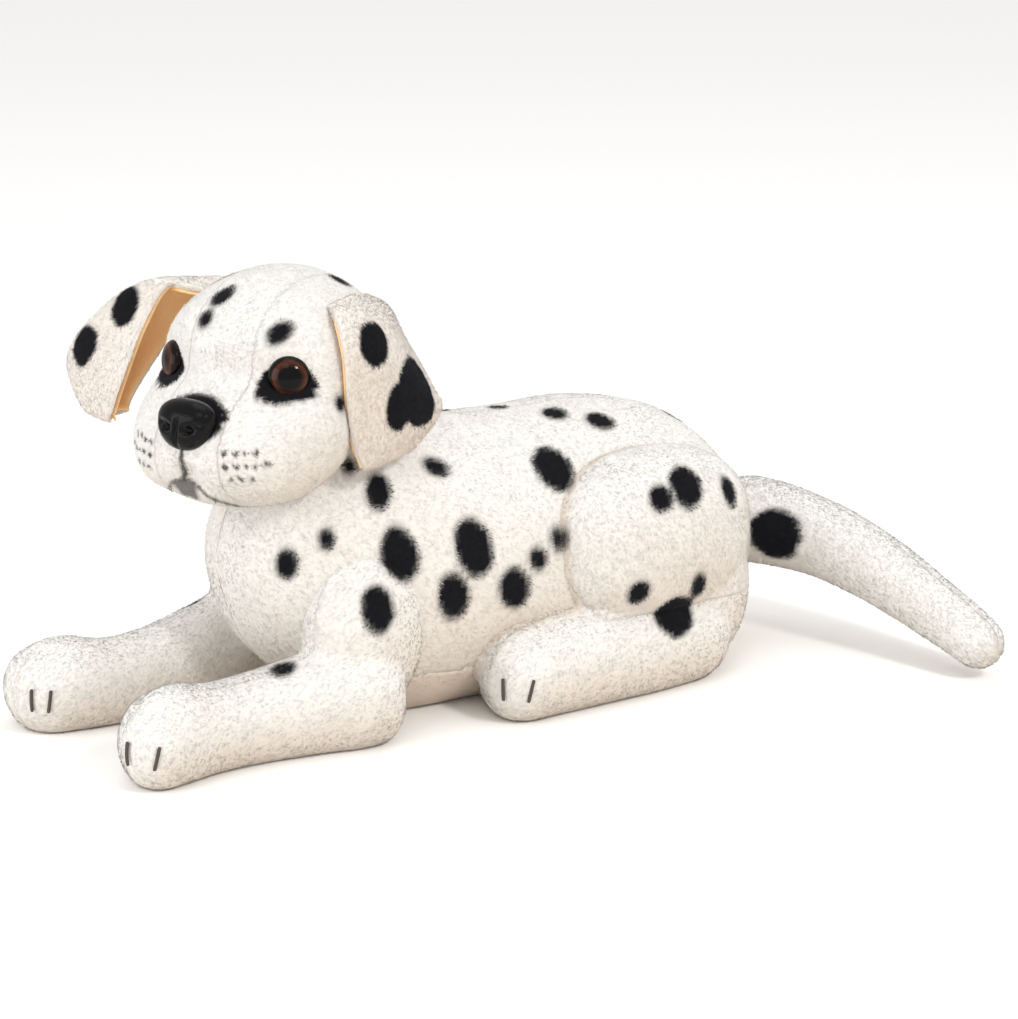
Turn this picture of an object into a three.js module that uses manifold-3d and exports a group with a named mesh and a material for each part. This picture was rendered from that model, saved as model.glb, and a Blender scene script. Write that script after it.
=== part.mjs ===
// Plush dog lying down: sewn pile-fabric panels over separate stuffing, with plastic safety eyes and nose.
// Millimetres. +Z is up, -X is the way the dog faces, -Y is the dog's left side.

import * as THREE from "three";
import { mergeVertices } from "three/addons/utils/BufferGeometryUtils.js";
import Module from "manifold-3d";

const wasm = await Module();
wasm.setup();

// ---- Driving dimensions ---------------------------------------------------------------------------------

const skin = 2.2; // pile fabric with its backing
const seam = 0.4; // between two panels, and between a panel and the stuffing
const belt = 18; // height of the seam between the belly panel and the sides

const bodyFront = 57; // chest
const bodyLength = 224; // chest to rump
const bodyHeight = 98; // floor to back
const bodyWidth = 94;

const headCentre = new THREE.Vector3(83, -4, 128);
const headTurned = 24; // degrees to the dog's left
const headWidth = 75;
const headDepth = 76; // forehead to back of the skull
const skullHeight = 64;
const snoutReach = 53; // head centre to the front of the snout
const gussetWidth = 26; // strip from nose to nape
const neckBall = 22; // radius of the stuffing that fills the neck
const neckPivot = new THREE.Vector3(94, -4, 99);

const eyeDiameter = 14.5;
const eyeDome = 5.2; // height of the dome
const eyeDirection = [22, 25.5, 10.5]; // from the middle of the face: forward, sideways, up
const noseWidth = 20;
const noseHeight = 17;
const noseDepth = 10;
const noseDirection = [43, 0, -4];
const chinUp = -10; // top of the chin panel, from the head's centre
const stemDiameter = 5;
const washerDiameter = 14;
const washerThickness = 1.6;

const earPile = 2.6; // outer layer of an ear
const earLining = 1.4; // inner layer of an ear
const earHinge = [-4, -9.5, 24]; // forward, out from the head's side, and up

const frontLegLength = 106;
const frontLegWidth = 35;
const frontLegHeight = 37;
const frontPawApart = 64; // between the centres of the two front paws
const frontLegApart = 76; // between the centres of the two elbows
const leftPawTip = 1;
const rightPawTip = -5;

const thighCentreX = 211;
const thighCentreY = 36;
const thighCentreZ = 44;
const thighLength = 94;
const thighHeight = 82;
const thighThickness = 44;
const thighFlat = 37; // distance of the thigh's inner face from the middle
const hindPawTip = 138;
const hindFootLength = 112;
const hindFootWidth = 34;
const hindFootHeight = 34;
const hindFootApart = 92;

const tailBall = 11; // radius of the stuffing that fills the tail's root
const tailPivot = new THREE.Vector3(268, -1, 44);
const tailRoot = 35; // thickness where it meets the rump
const tailTip = 18;

const stitchLength = 9;
const stitchThickness = 1.2;
const toeSpread = 0.4; // radians round the paw from its top to each of its two stitches
const pawTwist = {
  // radians that each paw rolls towards the dog's left
  front: { left: 0.5, right: 0.6 },
  hind: { left: 0.6, right: 0 },
};

const swing = stitchThickness + seam + 1.2; // spare room round a piece that moves, over its stitches

// ---- Materials ------------------------------------------------------------------------------------------

const finish = (color, roughness, metalness = 0) =>
  new THREE.MeshStandardMaterial({ color, roughness, metalness });
const pile = finish(0xf4efe8, 0.95);
const belly = finish(0xefe8df, 0.95);
const lining = finish(0xe9a765, 0.9);
const wadding = finish(0xfafafa, 1.0);
const gloss = finish(0x15100e, 0.12);
const iris = finish(0x2a150d, 0.08);
const washerWhite = finish(0xe6e6e2, 0.5);
const thread = finish(0x4a3a34, 0.8);

// ---- Solids and how they are cut ------------------------------------------------------------------------

const dog = new THREE.Group();
dog.name = "plush_dog";

// Closed skin over rows of points: at(t, a) with t from one pole to the other and a once round.
function surface(at, rows, sides) {
  const points = [at(0, 0)];
  for (let row = 1; row < rows; row++) {
    for (let side = 0; side < sides; side++) points.push(at(row / rows, (2 * Math.PI * side) / sides));
  }
  points.push(at(1, 0));
  const last = points.length - 1;
  const index = [];
  for (let side = 0; side < sides; side++) {
    const next = (side + 1) % sides;
    index.push(0, 1 + next, 1 + side);
    for (let row = 0; row < rows - 2; row++) {
      const near = 1 + row * sides;
      const far = near + sides;
      index.push(near + side, near + next, far + side, near + next, far + next, far + side);
    }
    index.push(last, last - sides + side, last - sides + next);
  }
  const geometry = new THREE.BufferGeometry().setFromPoints(points);
  geometry.setIndex(index);
  geometry.computeVertexNormals();
  return geometry;
}

function toSolid(geometry) {
  const bare = geometry.clone();
  bare.deleteAttribute("normal");
  bare.deleteAttribute("uv");
  const merged = mergeVertices(bare, 1e-4);
  const make = (triangles) =>
    new wasm.Manifold(
      new wasm.Mesh({
        numProp: 3,
        vertProperties: new Float32Array(merged.attributes.position.array),
        triVerts: new Uint32Array(triangles),
      }),
    );
  const triangles = Array.from(merged.index.array);
  const made = make(triangles);
  return made.volume() > 0 ? made : make(triangles.reverse());
}

// The solid inside a skin, with the skin moved in by depth along its normals.
function layer(geometry, depth) {
  const moved = geometry.clone();
  const { position, normal } = moved.attributes;
  const outward = facing(geometry);
  for (let i = 0; i < position.count; i++) {
    position.setXYZ(
      i,
      position.getX(i) - outward * depth * normal.getX(i),
      position.getY(i) - outward * depth * normal.getY(i),
      position.getZ(i) - outward * depth * normal.getZ(i),
    );
  }
  return toSolid(moved);
}

// 1 where a geometry's normals point out of it, -1 where they point in.
function facing(geometry) {
  const { position, normal } = geometry.attributes;
  const middle = new THREE.Vector3();
  geometry.computeBoundingBox();
  geometry.boundingBox.getCenter(middle);
  let sum = 0;
  const point = new THREE.Vector3();
  const out = new THREE.Vector3();
  for (let i = 0; i < position.count; i++) {
    point.fromBufferAttribute(position, i).sub(middle);
    sum += point.dot(out.fromBufferAttribute(normal, i));
  }
  return Math.sign(sum);
}

const far = 600;

function box(x, y, z) {
  const size = [x, y, z].map(([low, high]) => high - low);
  const centre = [x, y, z].map(([low, high]) => (low + high) / 2);
  return toSolid(new THREE.BoxGeometry(...size)).translate(centre);
}

const all = [-far, far];
const above = (z) => box(all, all, [z, far]);
const below = (z) => box(all, all, [-far, z]);
const leftOf = (y) => box(all, [-far, y], all);
const rightOf = (y) => box(all, [y, far], all);

function ball(centre, radius) {
  return toSolid(new THREE.SphereGeometry(radius, 16, 10)).translate(centre.toArray());
}

// Room for a ball: the flats of its faces clear the ball whichever way that turns.
function ballRoom(centre, radius) {
  return ball(centre, (radius + seam) / (Math.cos(Math.PI / 16) * Math.cos(Math.PI / 20)));
}

// A solid turned about a line through pivot.
function turned(solid, pivot, axis, degrees) {
  const matrix = new THREE.Matrix4()
    .makeTranslation(...pivot)
    .multiply(new THREE.Matrix4().makeRotationAxis(axis, THREE.MathUtils.degToRad(degrees)))
    .multiply(new THREE.Matrix4().makeTranslation(...pivot.clone().negate()));
  return solid.transform(matrix.elements);
}

// Room that a piece sweeps as it turns to each of the angles.
function sweep(solid, pivot, axis, angles) {
  return wasm.Manifold.union(angles.map((angle) => turned(solid, pivot, axis, angle)));
}

function addNode(name, solid, material) {
  const { vertProperties, triVerts } = solid.getMesh();
  const geometry = new THREE.BufferGeometry();
  geometry.setAttribute("position", new THREE.BufferAttribute(new Float32Array(vertProperties), 3));
  geometry.setIndex(new THREE.BufferAttribute(new Uint32Array(triVerts), 1));
  geometry.computeVertexNormals();
  const mesh = new THREE.Mesh(geometry, material);
  mesh.name = name;
  dog.add(mesh);
}

// Smooth values between rows of numbers; each row starts with its station.
function between(rows, station) {
  let i = 0;
  while (i < rows.length - 2 && station > rows[i + 1][0]) i++;
  const [start, end] = [rows[i], rows[i + 1]];
  const span = end[0] - start[0];
  const t = (station - start[0]) / span;
  const slope = (row, k) => {
    const before = rows[Math.max(row - 1, 0)];
    const after = rows[Math.min(row + 1, rows.length - 1)];
    return ((after[k] - before[k]) / (after[0] - before[0])) * span;
  };
  return start.slice(1).map((value, n) => {
    const k = n + 1;
    const [a, b] = [slope(i, k), slope(i + 1, k)];
    const rise = end[k] - value;
    return value + t * (a + t * (3 * rise - 2 * a - b + t * (a + b - 2 * rise)));
  });
}

const power = (value, exponent) => Math.sign(value) * Math.abs(value) ** exponent;

// Stations crowd towards both poles, where a shape closes fastest.
const eased = (t) => (1 - Math.cos(Math.PI * t)) / 2;

// The two solids of a stuffed piece: its fabric and the stuffing inside it.
function stuffed(geometry) {
  const [outside, inside, stuffing] = [0, skin, skin + seam].map((depth) =>
    layer(geometry, depth).intersect(above(depth)),
  );
  return { fabric: outside.subtract(inside), stuffing };
}

// ---- Body -----------------------------------------------------------------------------------------------

// Station, top, bottom and half width, as shares of the body's length, height and half width.
const bodyRows = [
  [0, 0.62, 0.62, 0],
  [0.03, 0.8, 0.42, 0.44],
  [0.09, 0.95, 0.22, 0.7],
  [0.19, 1.05, 0.03, 0.88],
  [0.32, 1.05, -0.05, 0.96],
  [0.46, 1.0, -0.05, 0.98],
  [0.66, 1.01, -0.05, 1.0],
  [0.83, 0.94, -0.05, 0.94],
  [0.93, 0.77, 0.05, 0.7],
  [0.985, 0.58, 0.26, 0.34],
  [1, 0.42, 0.42, 0],
];

function bodyPoint(t, a) {
  const station = eased(t);
  const [top, bottom, wide] = between(bodyRows, station);
  const half = ((top - bottom) / 2) * bodyHeight;
  return new THREE.Vector3(
    bodyFront + station * bodyLength,
    (wide * bodyWidth * power(Math.cos(a), 0.92)) / 2,
    ((top + bottom) / 2) * bodyHeight + half * power(Math.sin(a), 0.92),
  );
}

// ---- Head -----------------------------------------------------------------------------------------------

// The middle of the face, from the head's centre: forward, sideways and up.
const heart = [8, 0, -6];

// Ellipsoids round it: the skull, the snout and the two cheeks, each with its centre and half axes.
const lumps = [
  { centre: [-8, 0, 8], half: [headDepth / 2, headWidth / 2, skullHeight / 2] },
  { centre: [snoutReach - 39, 0, -10], half: [31, 22, 22] },
  { centre: [12, 14, -11], half: [27, 23, 20] },
  { centre: [12, -14, -11], half: [27, 23, 20] },
];

// Distance from the middle of the face to the skin along a direction: the lumps' distances, blended.
function headReach(direction) {
  const blend = 9;
  let sum = 0;
  for (const { centre, half } of lumps) {
    const d = direction.map((value, i) => value / half[i]);
    const c = centre.map((value, i) => value / half[i]);
    const dd = d[0] ** 2 + d[1] ** 2 + d[2] ** 2;
    const dc = d[0] * c[0] + d[1] * c[1] + d[2] * c[2];
    const cc = c[0] ** 2 + c[1] ** 2 + c[2] ** 2;
    sum += ((dc + Math.sqrt(dc * dc - dd * (cc - 1))) / dd) ** blend;
  }
  return sum ** (1 / blend);
}

const headTurn = THREE.MathUtils.degToRad(headTurned);

// A place given forward, to the dog's left and up from the head's centre.
function onHead(forward, left, up) {
  return new THREE.Vector3(-forward, -left, up)
    .applyAxisAngle(new THREE.Vector3(0, 0, 1), headTurn)
    .add(headCentre);
}

function headwards(forward, left, up) {
  return onHead(forward, left, up).sub(headCentre).normalize();
}

// Poles at the nose and the nape, so that rows ring the snout.
function headPoint(t, a) {
  const lean = Math.PI * t;
  const direction = [Math.cos(lean), Math.sin(lean) * Math.cos(a), Math.sin(lean) * Math.sin(a)];
  const reach = headReach(direction);
  return onHead(...direction.map((value, i) => heart[i] + value * reach));
}

// Half space or strip of the head between two planes that face sideways.
function headStrip(low, high) {
  return toSolid(new THREE.BoxGeometry(2 * far, high - low, 2 * far))
    .translate([0, -(low + high) / 2, 0])
    .rotate([0, 0, headTurned])
    .translate(headCentre.toArray());
}

// A lathe turned on +Z whose axis then points along direction from place.
function aimed(profile, place, direction, segments = 12) {
  const geometry = new THREE.LatheGeometry(
    profile.map(([r, z]) => new THREE.Vector2(r, z)),
    segments,
  );
  geometry.rotateX(Math.PI / 2);
  geometry.applyQuaternion(
    new THREE.Quaternion().setFromUnitVectors(new THREE.Vector3(0, 0, 1), direction),
  );
  geometry.translate(...place);
  return toSolid(geometry);
}

const stem = stemDiameter / 2;
const stemLength = 11;

// A button with a domed face on a stem, grown by room for the hole that it needs.
function domeProfile(radius, height, room = 0) {
  const profile = [[0, -stemLength - room]];
  profile.push([stem + room, -stemLength - room], [stem + room, -1.2 - room], [radius + room, -1.2 - room]);
  const steps = 3;
  for (let i = 0; i < steps; i++) {
    const angle = (Math.PI / 2) * (i / steps);
    profile.push([(radius + room) * Math.cos(angle), (height + room) * Math.sin(angle)]);
  }
  profile.push([0, height + room]);
  return profile;
}

function washerProfile(room = 0) {
  const inner = room ? 0 : stem + seam;
  const outer = washerDiameter / 2 + room;
  const low = -skin - 3 - washerThickness - room;
  const high = -skin - 3 + room;
  const profile = [[inner, low], [outer, low], [outer, high], [inner, high]];
  if (inner) profile.push([inner, low]);
  return profile;
}

const [eyeAhead, eyeAside, eyeAbove] = eyeDirection;
const fittings = [
  { name: "eye_left", from: eyeDirection, aim: [0.74, 0.66, 0.1], material: iris },
  { name: "eye_right", from: [eyeAhead, -eyeAside, eyeAbove], aim: [0.74, -0.66, 0.1], material: iris },
  { name: "nose", from: noseDirection, aim: [0.95, 0, 0.27], material: gloss },
];

// The place on the head's skin that lies in a direction from the middle of the face.
function onSkin(from) {
  const length = Math.hypot(...from);
  const direction = from.map((value) => value / length);
  const reach = headReach(direction);
  return onHead(...direction.map((value, i) => heart[i] + value * reach));
}

// Solids of one fitting: the moulded button, its locking washer, and the holes that they need.
function fitting({ name, from, aim }) {
  const isNose = name === "nose";
  const [radius, height] = isNose ? [noseWidth / 2, noseDepth] : [eyeDiameter / 2, eyeDome];
  const spot = onSkin(from);
  const direction = headwards(...aim);
  const flatter = isNose ? noseHeight / noseWidth : 1;
  const squeeze = (solid) =>
    solid.translate([0, 0, -spot.z]).scale([1, 1, flatter]).translate([0, 0, spot.z]);
  return {
    button: squeeze(aimed(domeProfile(radius, height), spot, direction)),
    washer: squeeze(aimed(washerProfile(), spot, direction)),
    hole: squeeze(aimed(domeProfile(radius, height, seam), spot, direction)),
    washerHole: squeeze(aimed(washerProfile(seam), spot, direction)),
  };
}

// ---- Ears -----------------------------------------------------------------------------------------------

// An ear is a sheet curled round its length. Each row is a station from root to tip, then three places,
// each forward of the head's centre, out from the head's side and up: the front edge, the pull of the curl,
// the back edge.
const earRows = {
  left: [
    [0, 9, -9, 25, -5, -4.5, 30, -18, -13, 24],
    [0.15, 14, -4.5, 22, -4, 2.5, 26, -22, -8.5, 20],
    [0.4, 17, 1.2, 10, -4, 12, 12, -27, -5, 9],
    [0.7, 16, 1.5, -8, -6, 15, -8, -31, 5, -9],
    [0.92, 13, 2, -23, -3, 12, -23, -29, 9, -17],
    [1, 9, 3, -30, 0, 6, -31, -14, 8, -27],
  ],
  right: [
    [0, 9, -9, 25, -3, -4.5, 30, -14, -12, 25],
    [0.15, 12, 0.5, 25.5, 15, 21.5, 28, -10, -1.5, 22],
    [0.4, 18, 7.5, 13, 18, 45, 16, -6, 8.5, 10],
    [0.7, 25, 12, -5, 18, 62, -3, 0, 16.5, -5],
    [0.92, 28, 15.5, -18, 22, 43, -22, 8, 20.5, -17],
    [1, 27, 17.5, -22, 22, 26.5, -25, 12, 20.5, -22],
  ],
};

function earPoint(side, across, down) {
  const values = between(earRows[side], down);
  const weights = [(1 - across) ** 2, 2 * across * (1 - across), across ** 2];
  const mix = (k) => weights.reduce((sum, weight, n) => sum + weight * values[3 * n + k], 0);
  const sign = side === "left" ? 1 : -1;
  return onHead(mix(0), sign * (headWidth / 2 + mix(1)), mix(2));
}

// One layer of an ear, from depth to depth + thickness under its outer face.
function earLayer(side, depth, thickness) {
  const [columns, rows] = [5, 7];
  const sign = side === "left" ? 1 : -1;
  const points = [];
  const step = 0.01;
  for (const down of [depth, depth + thickness]) {
    for (let row = 0; row <= rows; row++) {
      for (let column = 0; column <= columns; column++) {
        const u = column / columns;
        const v = row / rows;
        const here = earPoint(side, u, v);
        const along = earPoint(side, u + step, v).sub(earPoint(side, u - step, v));
        const downwards = earPoint(side, u, v + step).sub(earPoint(side, u, v - step));
        const inward = along.cross(downwards).normalize().multiplyScalar(sign * down);
        points.push(here.add(inward));
      }
    }
  }
  const count = (columns + 1) * (rows + 1);
  const at = (row, column) => row * (columns + 1) + column;
  const index = [];
  const quad = (a, b, c, d) => index.push(a, b, c, a, c, d);
  for (let row = 0; row < rows; row++) {
    for (let column = 0; column < columns; column++) {
      const [near, next] = [at(row, column), at(row + 1, column)];
      const corners = [near, near + 1, next + 1, next];
      quad(...corners);
      quad(...corners.map((corner) => corner + count).reverse());
    }
    for (const [column, turn] of [[0, 1], [columns, 0]]) {
      const [near, next] = [at(row, column), at(row + 1, column)];
      const corners = [near, next, next + count, near + count];
      quad(...(turn ? corners : corners.reverse()));
    }
  }
  for (let column = 0; column < columns; column++) {
    for (const [row, turn] of [[0, 0], [rows, 1]]) {
      const [near, next] = [at(row, column), at(row, column + 1)];
      const corners = [near, next, next + count, near + count];
      quad(...(turn ? corners : corners.reverse()));
    }
  }
  const geometry = new THREE.BufferGeometry().setFromPoints(points);
  geometry.setIndex(index);
  return toSolid(geometry);
}

// ---- Legs -----------------------------------------------------------------------------------------------

// Station, top, bottom and half width, as shares of a leg's length, height and half width.
const frontLegRows = [
  [0, 0.4, 0.4, 0],
  [0.03, 0.66, 0.1, 0.58],
  [0.1, 0.84, -0.04, 0.92],
  [0.22, 0.88, -0.06, 0.98],
  [0.36, 0.83, -0.06, 0.9],
  [0.6, 0.92, -0.06, 0.94],
  [0.82, 1.02, -0.06, 1],
  [0.95, 0.9, 0.02, 0.72],
  [1, 0.5, 0.5, 0],
];
const hindFootRows = [
  [0, 0.4, 0.4, 0],
  [0.03, 0.7, 0.1, 0.6],
  [0.1, 0.94, -0.04, 0.94],
  [0.24, 1.02, -0.06, 1],
  [0.45, 0.98, -0.06, 0.96],
  [0.75, 0.9, -0.06, 0.9],
  [0.94, 0.8, 0.02, 0.66],
  [1, 0.45, 0.45, 0],
];

function legSurface(rows, tip, length, width, height, pawY, rootY) {
  return (t, a) => {
    const station = eased(t);
    const [top, bottom, wide] = between(rows, station);
    return new THREE.Vector3(
      tip + station * length,
      pawY + (rootY - pawY) * station + (wide * width * power(Math.cos(a), 0.95)) / 2,
      ((top + bottom) / 2 + ((top - bottom) / 2) * power(Math.sin(a), 0.95)) * height,
    );
  };
}

// A stitch between two toes: a short thread over the front of the paw, just clear of its fabric.
function toeStitch(at, angle) {
  const [first, last] = [0.13, 0.26];
  const points = [];
  for (let i = 0; i <= 4; i++) {
    const t = first + ((last - first) * i) / 4;
    const here = at(t, angle);
    const along = at(t + 0.01, angle).sub(at(t - 0.01, angle));
    const round = at(t, angle + 0.05).sub(at(t, angle - 0.05));
    const out = round.cross(along).normalize();
    points.push(here.addScaledVector(out, Math.sign(out.z) * (stitchThickness / 2 + seam)));
  }
  const path = new THREE.CatmullRomCurve3(points);
  const whole = path.getLength();
  const trimmed = new THREE.CatmullRomCurve3(
    [0, 0.25, 0.5, 0.75, 1].map((f) => path.getPointAt((f * Math.min(stitchLength, whole)) / whole)),
  );
  const round = new THREE.Shape().absarc(0, 0, stitchThickness / 2, 0, 2 * Math.PI);
  return toSolid(
    new THREE.ExtrudeGeometry(round, { steps: 5, extrudePath: trimmed, curveSegments: 3 }),
  );
}

const sides = [
  { side: "left", sign: -1, pawTip: leftPawTip },
  { side: "right", sign: 1, pawTip: rightPawTip },
];

function frontLeg({ sign, pawTip }) {
  const at = legSurface(
    frontLegRows,
    pawTip,
    frontLegLength,
    frontLegWidth,
    frontLegHeight,
    (sign * frontPawApart) / 2,
    (sign * frontLegApart) / 2,
  );
  return { at, ...stuffed(surface(at, 11, 12)) };
}

function hindFoot({ sign }) {
  const at = legSurface(
    hindFootRows,
    hindPawTip,
    hindFootLength,
    hindFootWidth,
    hindFootHeight,
    (sign * hindFootApart) / 2,
    (sign * hindFootApart) / 2,
  );
  return { at, ...stuffed(surface(at, 11, 12)) };
}

function thigh({ sign }) {
  const at = (t, a) => {
    const lean = Math.PI * t;
    return new THREE.Vector3(
      thighCentreX + (thighLength / 2) * Math.cos(lean),
      sign * thighCentreY + (thighThickness / 2) * Math.sin(lean) * Math.cos(a),
      thighCentreZ + (thighHeight / 2) * Math.sin(lean) * Math.sin(a),
    );
  };
  const whole = stuffed(surface(at, 9, 14));
  const outer = sign < 0 ? leftOf(-thighFlat) : rightOf(thighFlat);
  const flatRoom = sign < 0 ? leftOf(-thighFlat + seam) : rightOf(thighFlat - seam);
  return {
    at,
    flatRoom,
    fabric: whole.fabric.intersect(outer),
    stuffing: whole.stuffing.intersect(outer),
  };
}

// ---- Tail -----------------------------------------------------------------------------------------------

const tailPath = new THREE.CatmullRomCurve3(
  [
    [0, 0, 0],
    [14, -12, 0],
    [28, -34, -4],
    [37, -60, -12],
    [43, -88, -23],
    [48, -114, -34],
  ].map((offset) => new THREE.Vector3(...offset).add(tailPivot)),
);

function tailPoint(t, a) {
  const station = eased(t);
  const centre = tailPath.getPointAt(station);
  const heading = tailPath.getTangentAt(station);
  const across = new THREE.Vector3(0, 0, 1).cross(heading).normalize();
  const up = heading.clone().cross(across);
  const taper = tailRoot + (tailTip - tailRoot) * station;
  const rootward = Math.max(0, 1 - station / 0.05);
  const tipward = Math.max(0, (station - 0.93) / 0.07);
  const radius = (taper / 2) * Math.sqrt((1 - rootward ** 2) * (1 - tipward ** 2));
  return centre
    .clone()
    .addScaledVector(across, radius * Math.cos(a))
    .addScaledVector(up, radius * Math.sin(a));
}

// Everything on the left of the tail's middle line, seen from above.
function tailLeft(offset) {
  const outline = new THREE.Shape();
  const steps = 12;
  outline.moveTo(tailPivot.x - far, -far);
  outline.lineTo(tailPivot.x - far, tailPivot.y);
  for (let i = 0; i <= steps; i++) {
    const point = tailPath.getPointAt(i / steps);
    const heading = tailPath.getTangentAt(i / steps);
    const flat = Math.hypot(heading.x, heading.y);
    outline.lineTo(point.x + (heading.y / flat) * offset, point.y - (heading.x / flat) * offset);
  }
  outline.lineTo(tailPath.getPoint(1).x, -far);
  const slab = new THREE.ExtrudeGeometry(outline, { depth: 2 * far, bevelEnabled: false });
  slab.translate(0, 0, -far);
  return toSolid(slab);
}

// ---- Put together ---------------------------------------------------------------------------------------

const axisX = new THREE.Vector3(1, 0, 0);
const axisY = new THREE.Vector3(0, 1, 0);
const axisZ = new THREE.Vector3(0, 0, 1);

const earPivot = (sign) => onHead(earHinge[0], sign * (headWidth / 2 + earHinge[1]), earHinge[2]);

// Joints: where each moving piece turns, about what, and the angles that it needs room for.
const headSideways = headwards(0, 1, 0);
const joints = {
  headTurn: { pivot: neckPivot, axis: axisZ, angles: [-20, -7, 7, 20] },
  headNod: { pivot: neckPivot, axis: headSideways, angles: [-10, -2, 6] },
  frontLeg: { x: 104, z: 30, angles: [0, 10, 20] },
  hindLeg: { y: thighFlat, z: 78, angles: [0, 7.5, 15] },
  tailSwing: { pivot: tailPivot, axis: axisZ, angles: [-25, -12.5, 0, 12.5, 25] },
  tailLift: { pivot: tailPivot, axis: new THREE.Vector3(-0.8, -0.6, 0).normalize(), angles: [0, 12.5, 25] },
  earLeft: { pivot: earPivot(1), axis: headwards(1, 0, 0), angles: [0, 15, 30, 45, 60] },
  earRight: { pivot: earPivot(-1), axis: headwards(-1, 0, 0), angles: [-15, 0, 15, 30] },
};

const headSkin = surface(headPoint, 13, 16);
const head = {
  outside: layer(headSkin, 0),
  inside: layer(headSkin, skin),
  stuffing: layer(headSkin, skin + seam),
};
const tailSkin = surface(tailPoint, 13, 10);
const tail = stuffed(tailSkin);

// Rooms that the body gives to what moves against it.
const headGrown = layer(headSkin, -swing);
const nodded = sweep(headGrown, joints.headNod.pivot, joints.headNod.axis, joints.headNod.angles);
const headRoom = sweep(nodded, joints.headTurn.pivot, joints.headTurn.axis, joints.headTurn.angles);
const neckRoom = ballRoom(neckPivot, neckBall);
const tailGrown = layer(tailSkin, -swing);
const lifted = sweep(tailGrown, joints.tailLift.pivot, joints.tailLift.axis, joints.tailLift.angles);
const tailRoom = sweep(lifted, joints.tailSwing.pivot, joints.tailSwing.axis, joints.tailSwing.angles);
const tailBallRoom = ballRoom(tailPivot, tailBall);

const frontLegs = sides.map(frontLeg);
const hindFeet = sides.map(hindFoot);
const thighs = sides.map(thigh);
const grown = (at, rows, round) => layer(surface(at, rows, round), -swing);
const hindPivot = (sign) => new THREE.Vector3(0, sign * joints.hindLeg.y, joints.hindLeg.z);
const legRooms = sides.map(({ sign }, n) => {
  const frontPivot = new THREE.Vector3(joints.frontLeg.x, 0, joints.frontLeg.z);
  const front = sweep(grown(frontLegs[n].at, 11, 12), frontPivot, axisY, joints.frontLeg.angles);
  const outwards = joints.hindLeg.angles.map((angle) => sign * angle);
  const hind = grown(hindFeet[n].at, 11, 12).add(grown(thighs[n].at, 9, 14).intersect(thighs[n].flatRoom));
  return front.add(sweep(hind, hindPivot(sign), axisX, outwards));
});

const body = stuffed(surface(bodyPoint, 14, 16));
const rooms = wasm.Manifold.union([headRoom, neckRoom, tailRoom, tailBallRoom, ...legRooms]);
const bodyFabric = body.fabric.subtract(rooms);
addNode("body_side_left", bodyFabric.intersect(leftOf(-seam / 2)).intersect(above(belt + seam)), pile);
addNode("body_side_right", bodyFabric.intersect(rightOf(seam / 2)).intersect(above(belt + seam)), pile);
addNode("belly_panel", bodyFabric.intersect(below(belt)), belly);
addNode("body_stuffing", body.stuffing.subtract(rooms), wadding);

addNode("neck_stuffing", ball(neckPivot, neckBall), wadding);
addNode("tail_root_stuffing", ball(tailPivot, tailBall), wadding);

const parts = fittings.map((one) => ({ ...one, ...fitting(one) }));
const holes = wasm.Manifold.union(parts.map((one) => one.hole));
const washerHoles = wasm.Manifold.union(parts.map((one) => one.washerHole));
const headFabric = head.outside.subtract(head.inside).subtract(neckRoom).subtract(holes);
const strip = gussetWidth / 2;
// The chin panel lies in front of the neck and under the nose; the gusset takes the rest of the strip.
const chinRegion = (room) =>
  box([-far, room], all, [-far, chinUp + room])
    .rotate([0, 0, headTurned])
    .translate(headCentre.toArray());
addNode("head_side_left", headFabric.intersect(headStrip(strip + seam, far)), pile);
addNode("head_side_right", headFabric.intersect(headStrip(-far, -strip - seam)), pile);
addNode("head_gusset", headFabric.intersect(headStrip(-strip, strip)).subtract(chinRegion(seam)), pile);
addNode("chin_panel", headFabric.intersect(headStrip(-strip, strip)).intersect(chinRegion(0)), pile);
addNode("head_stuffing", head.stuffing.subtract(neckRoom).subtract(holes).subtract(washerHoles), wadding);
for (const { name, button, washer, material } of parts) {
  addNode(name, button, material);
  addNode(`${name}_washer`, washer, washerWhite);
}

// An ear gives way to the head as the head would pass it, seen from the ear, at each angle of its hinge.
for (const [side, { pivot, axis, angles }] of [["left", joints.earLeft], ["right", joints.earRight]]) {
  const headPassing = sweep(layer(headSkin, -seam), pivot, axis, angles.map((angle) => -angle));
  const above = earLayer(side, 0, earPile + seam / 2);
  const under = earLayer(side, earPile + seam, earLining).subtract(above);
  addNode(`ear_${side}_outer`, earLayer(side, 0, earPile).subtract(headPassing), pile);
  addNode(`ear_${side}_lining`, under.subtract(headPassing), lining);
}

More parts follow.
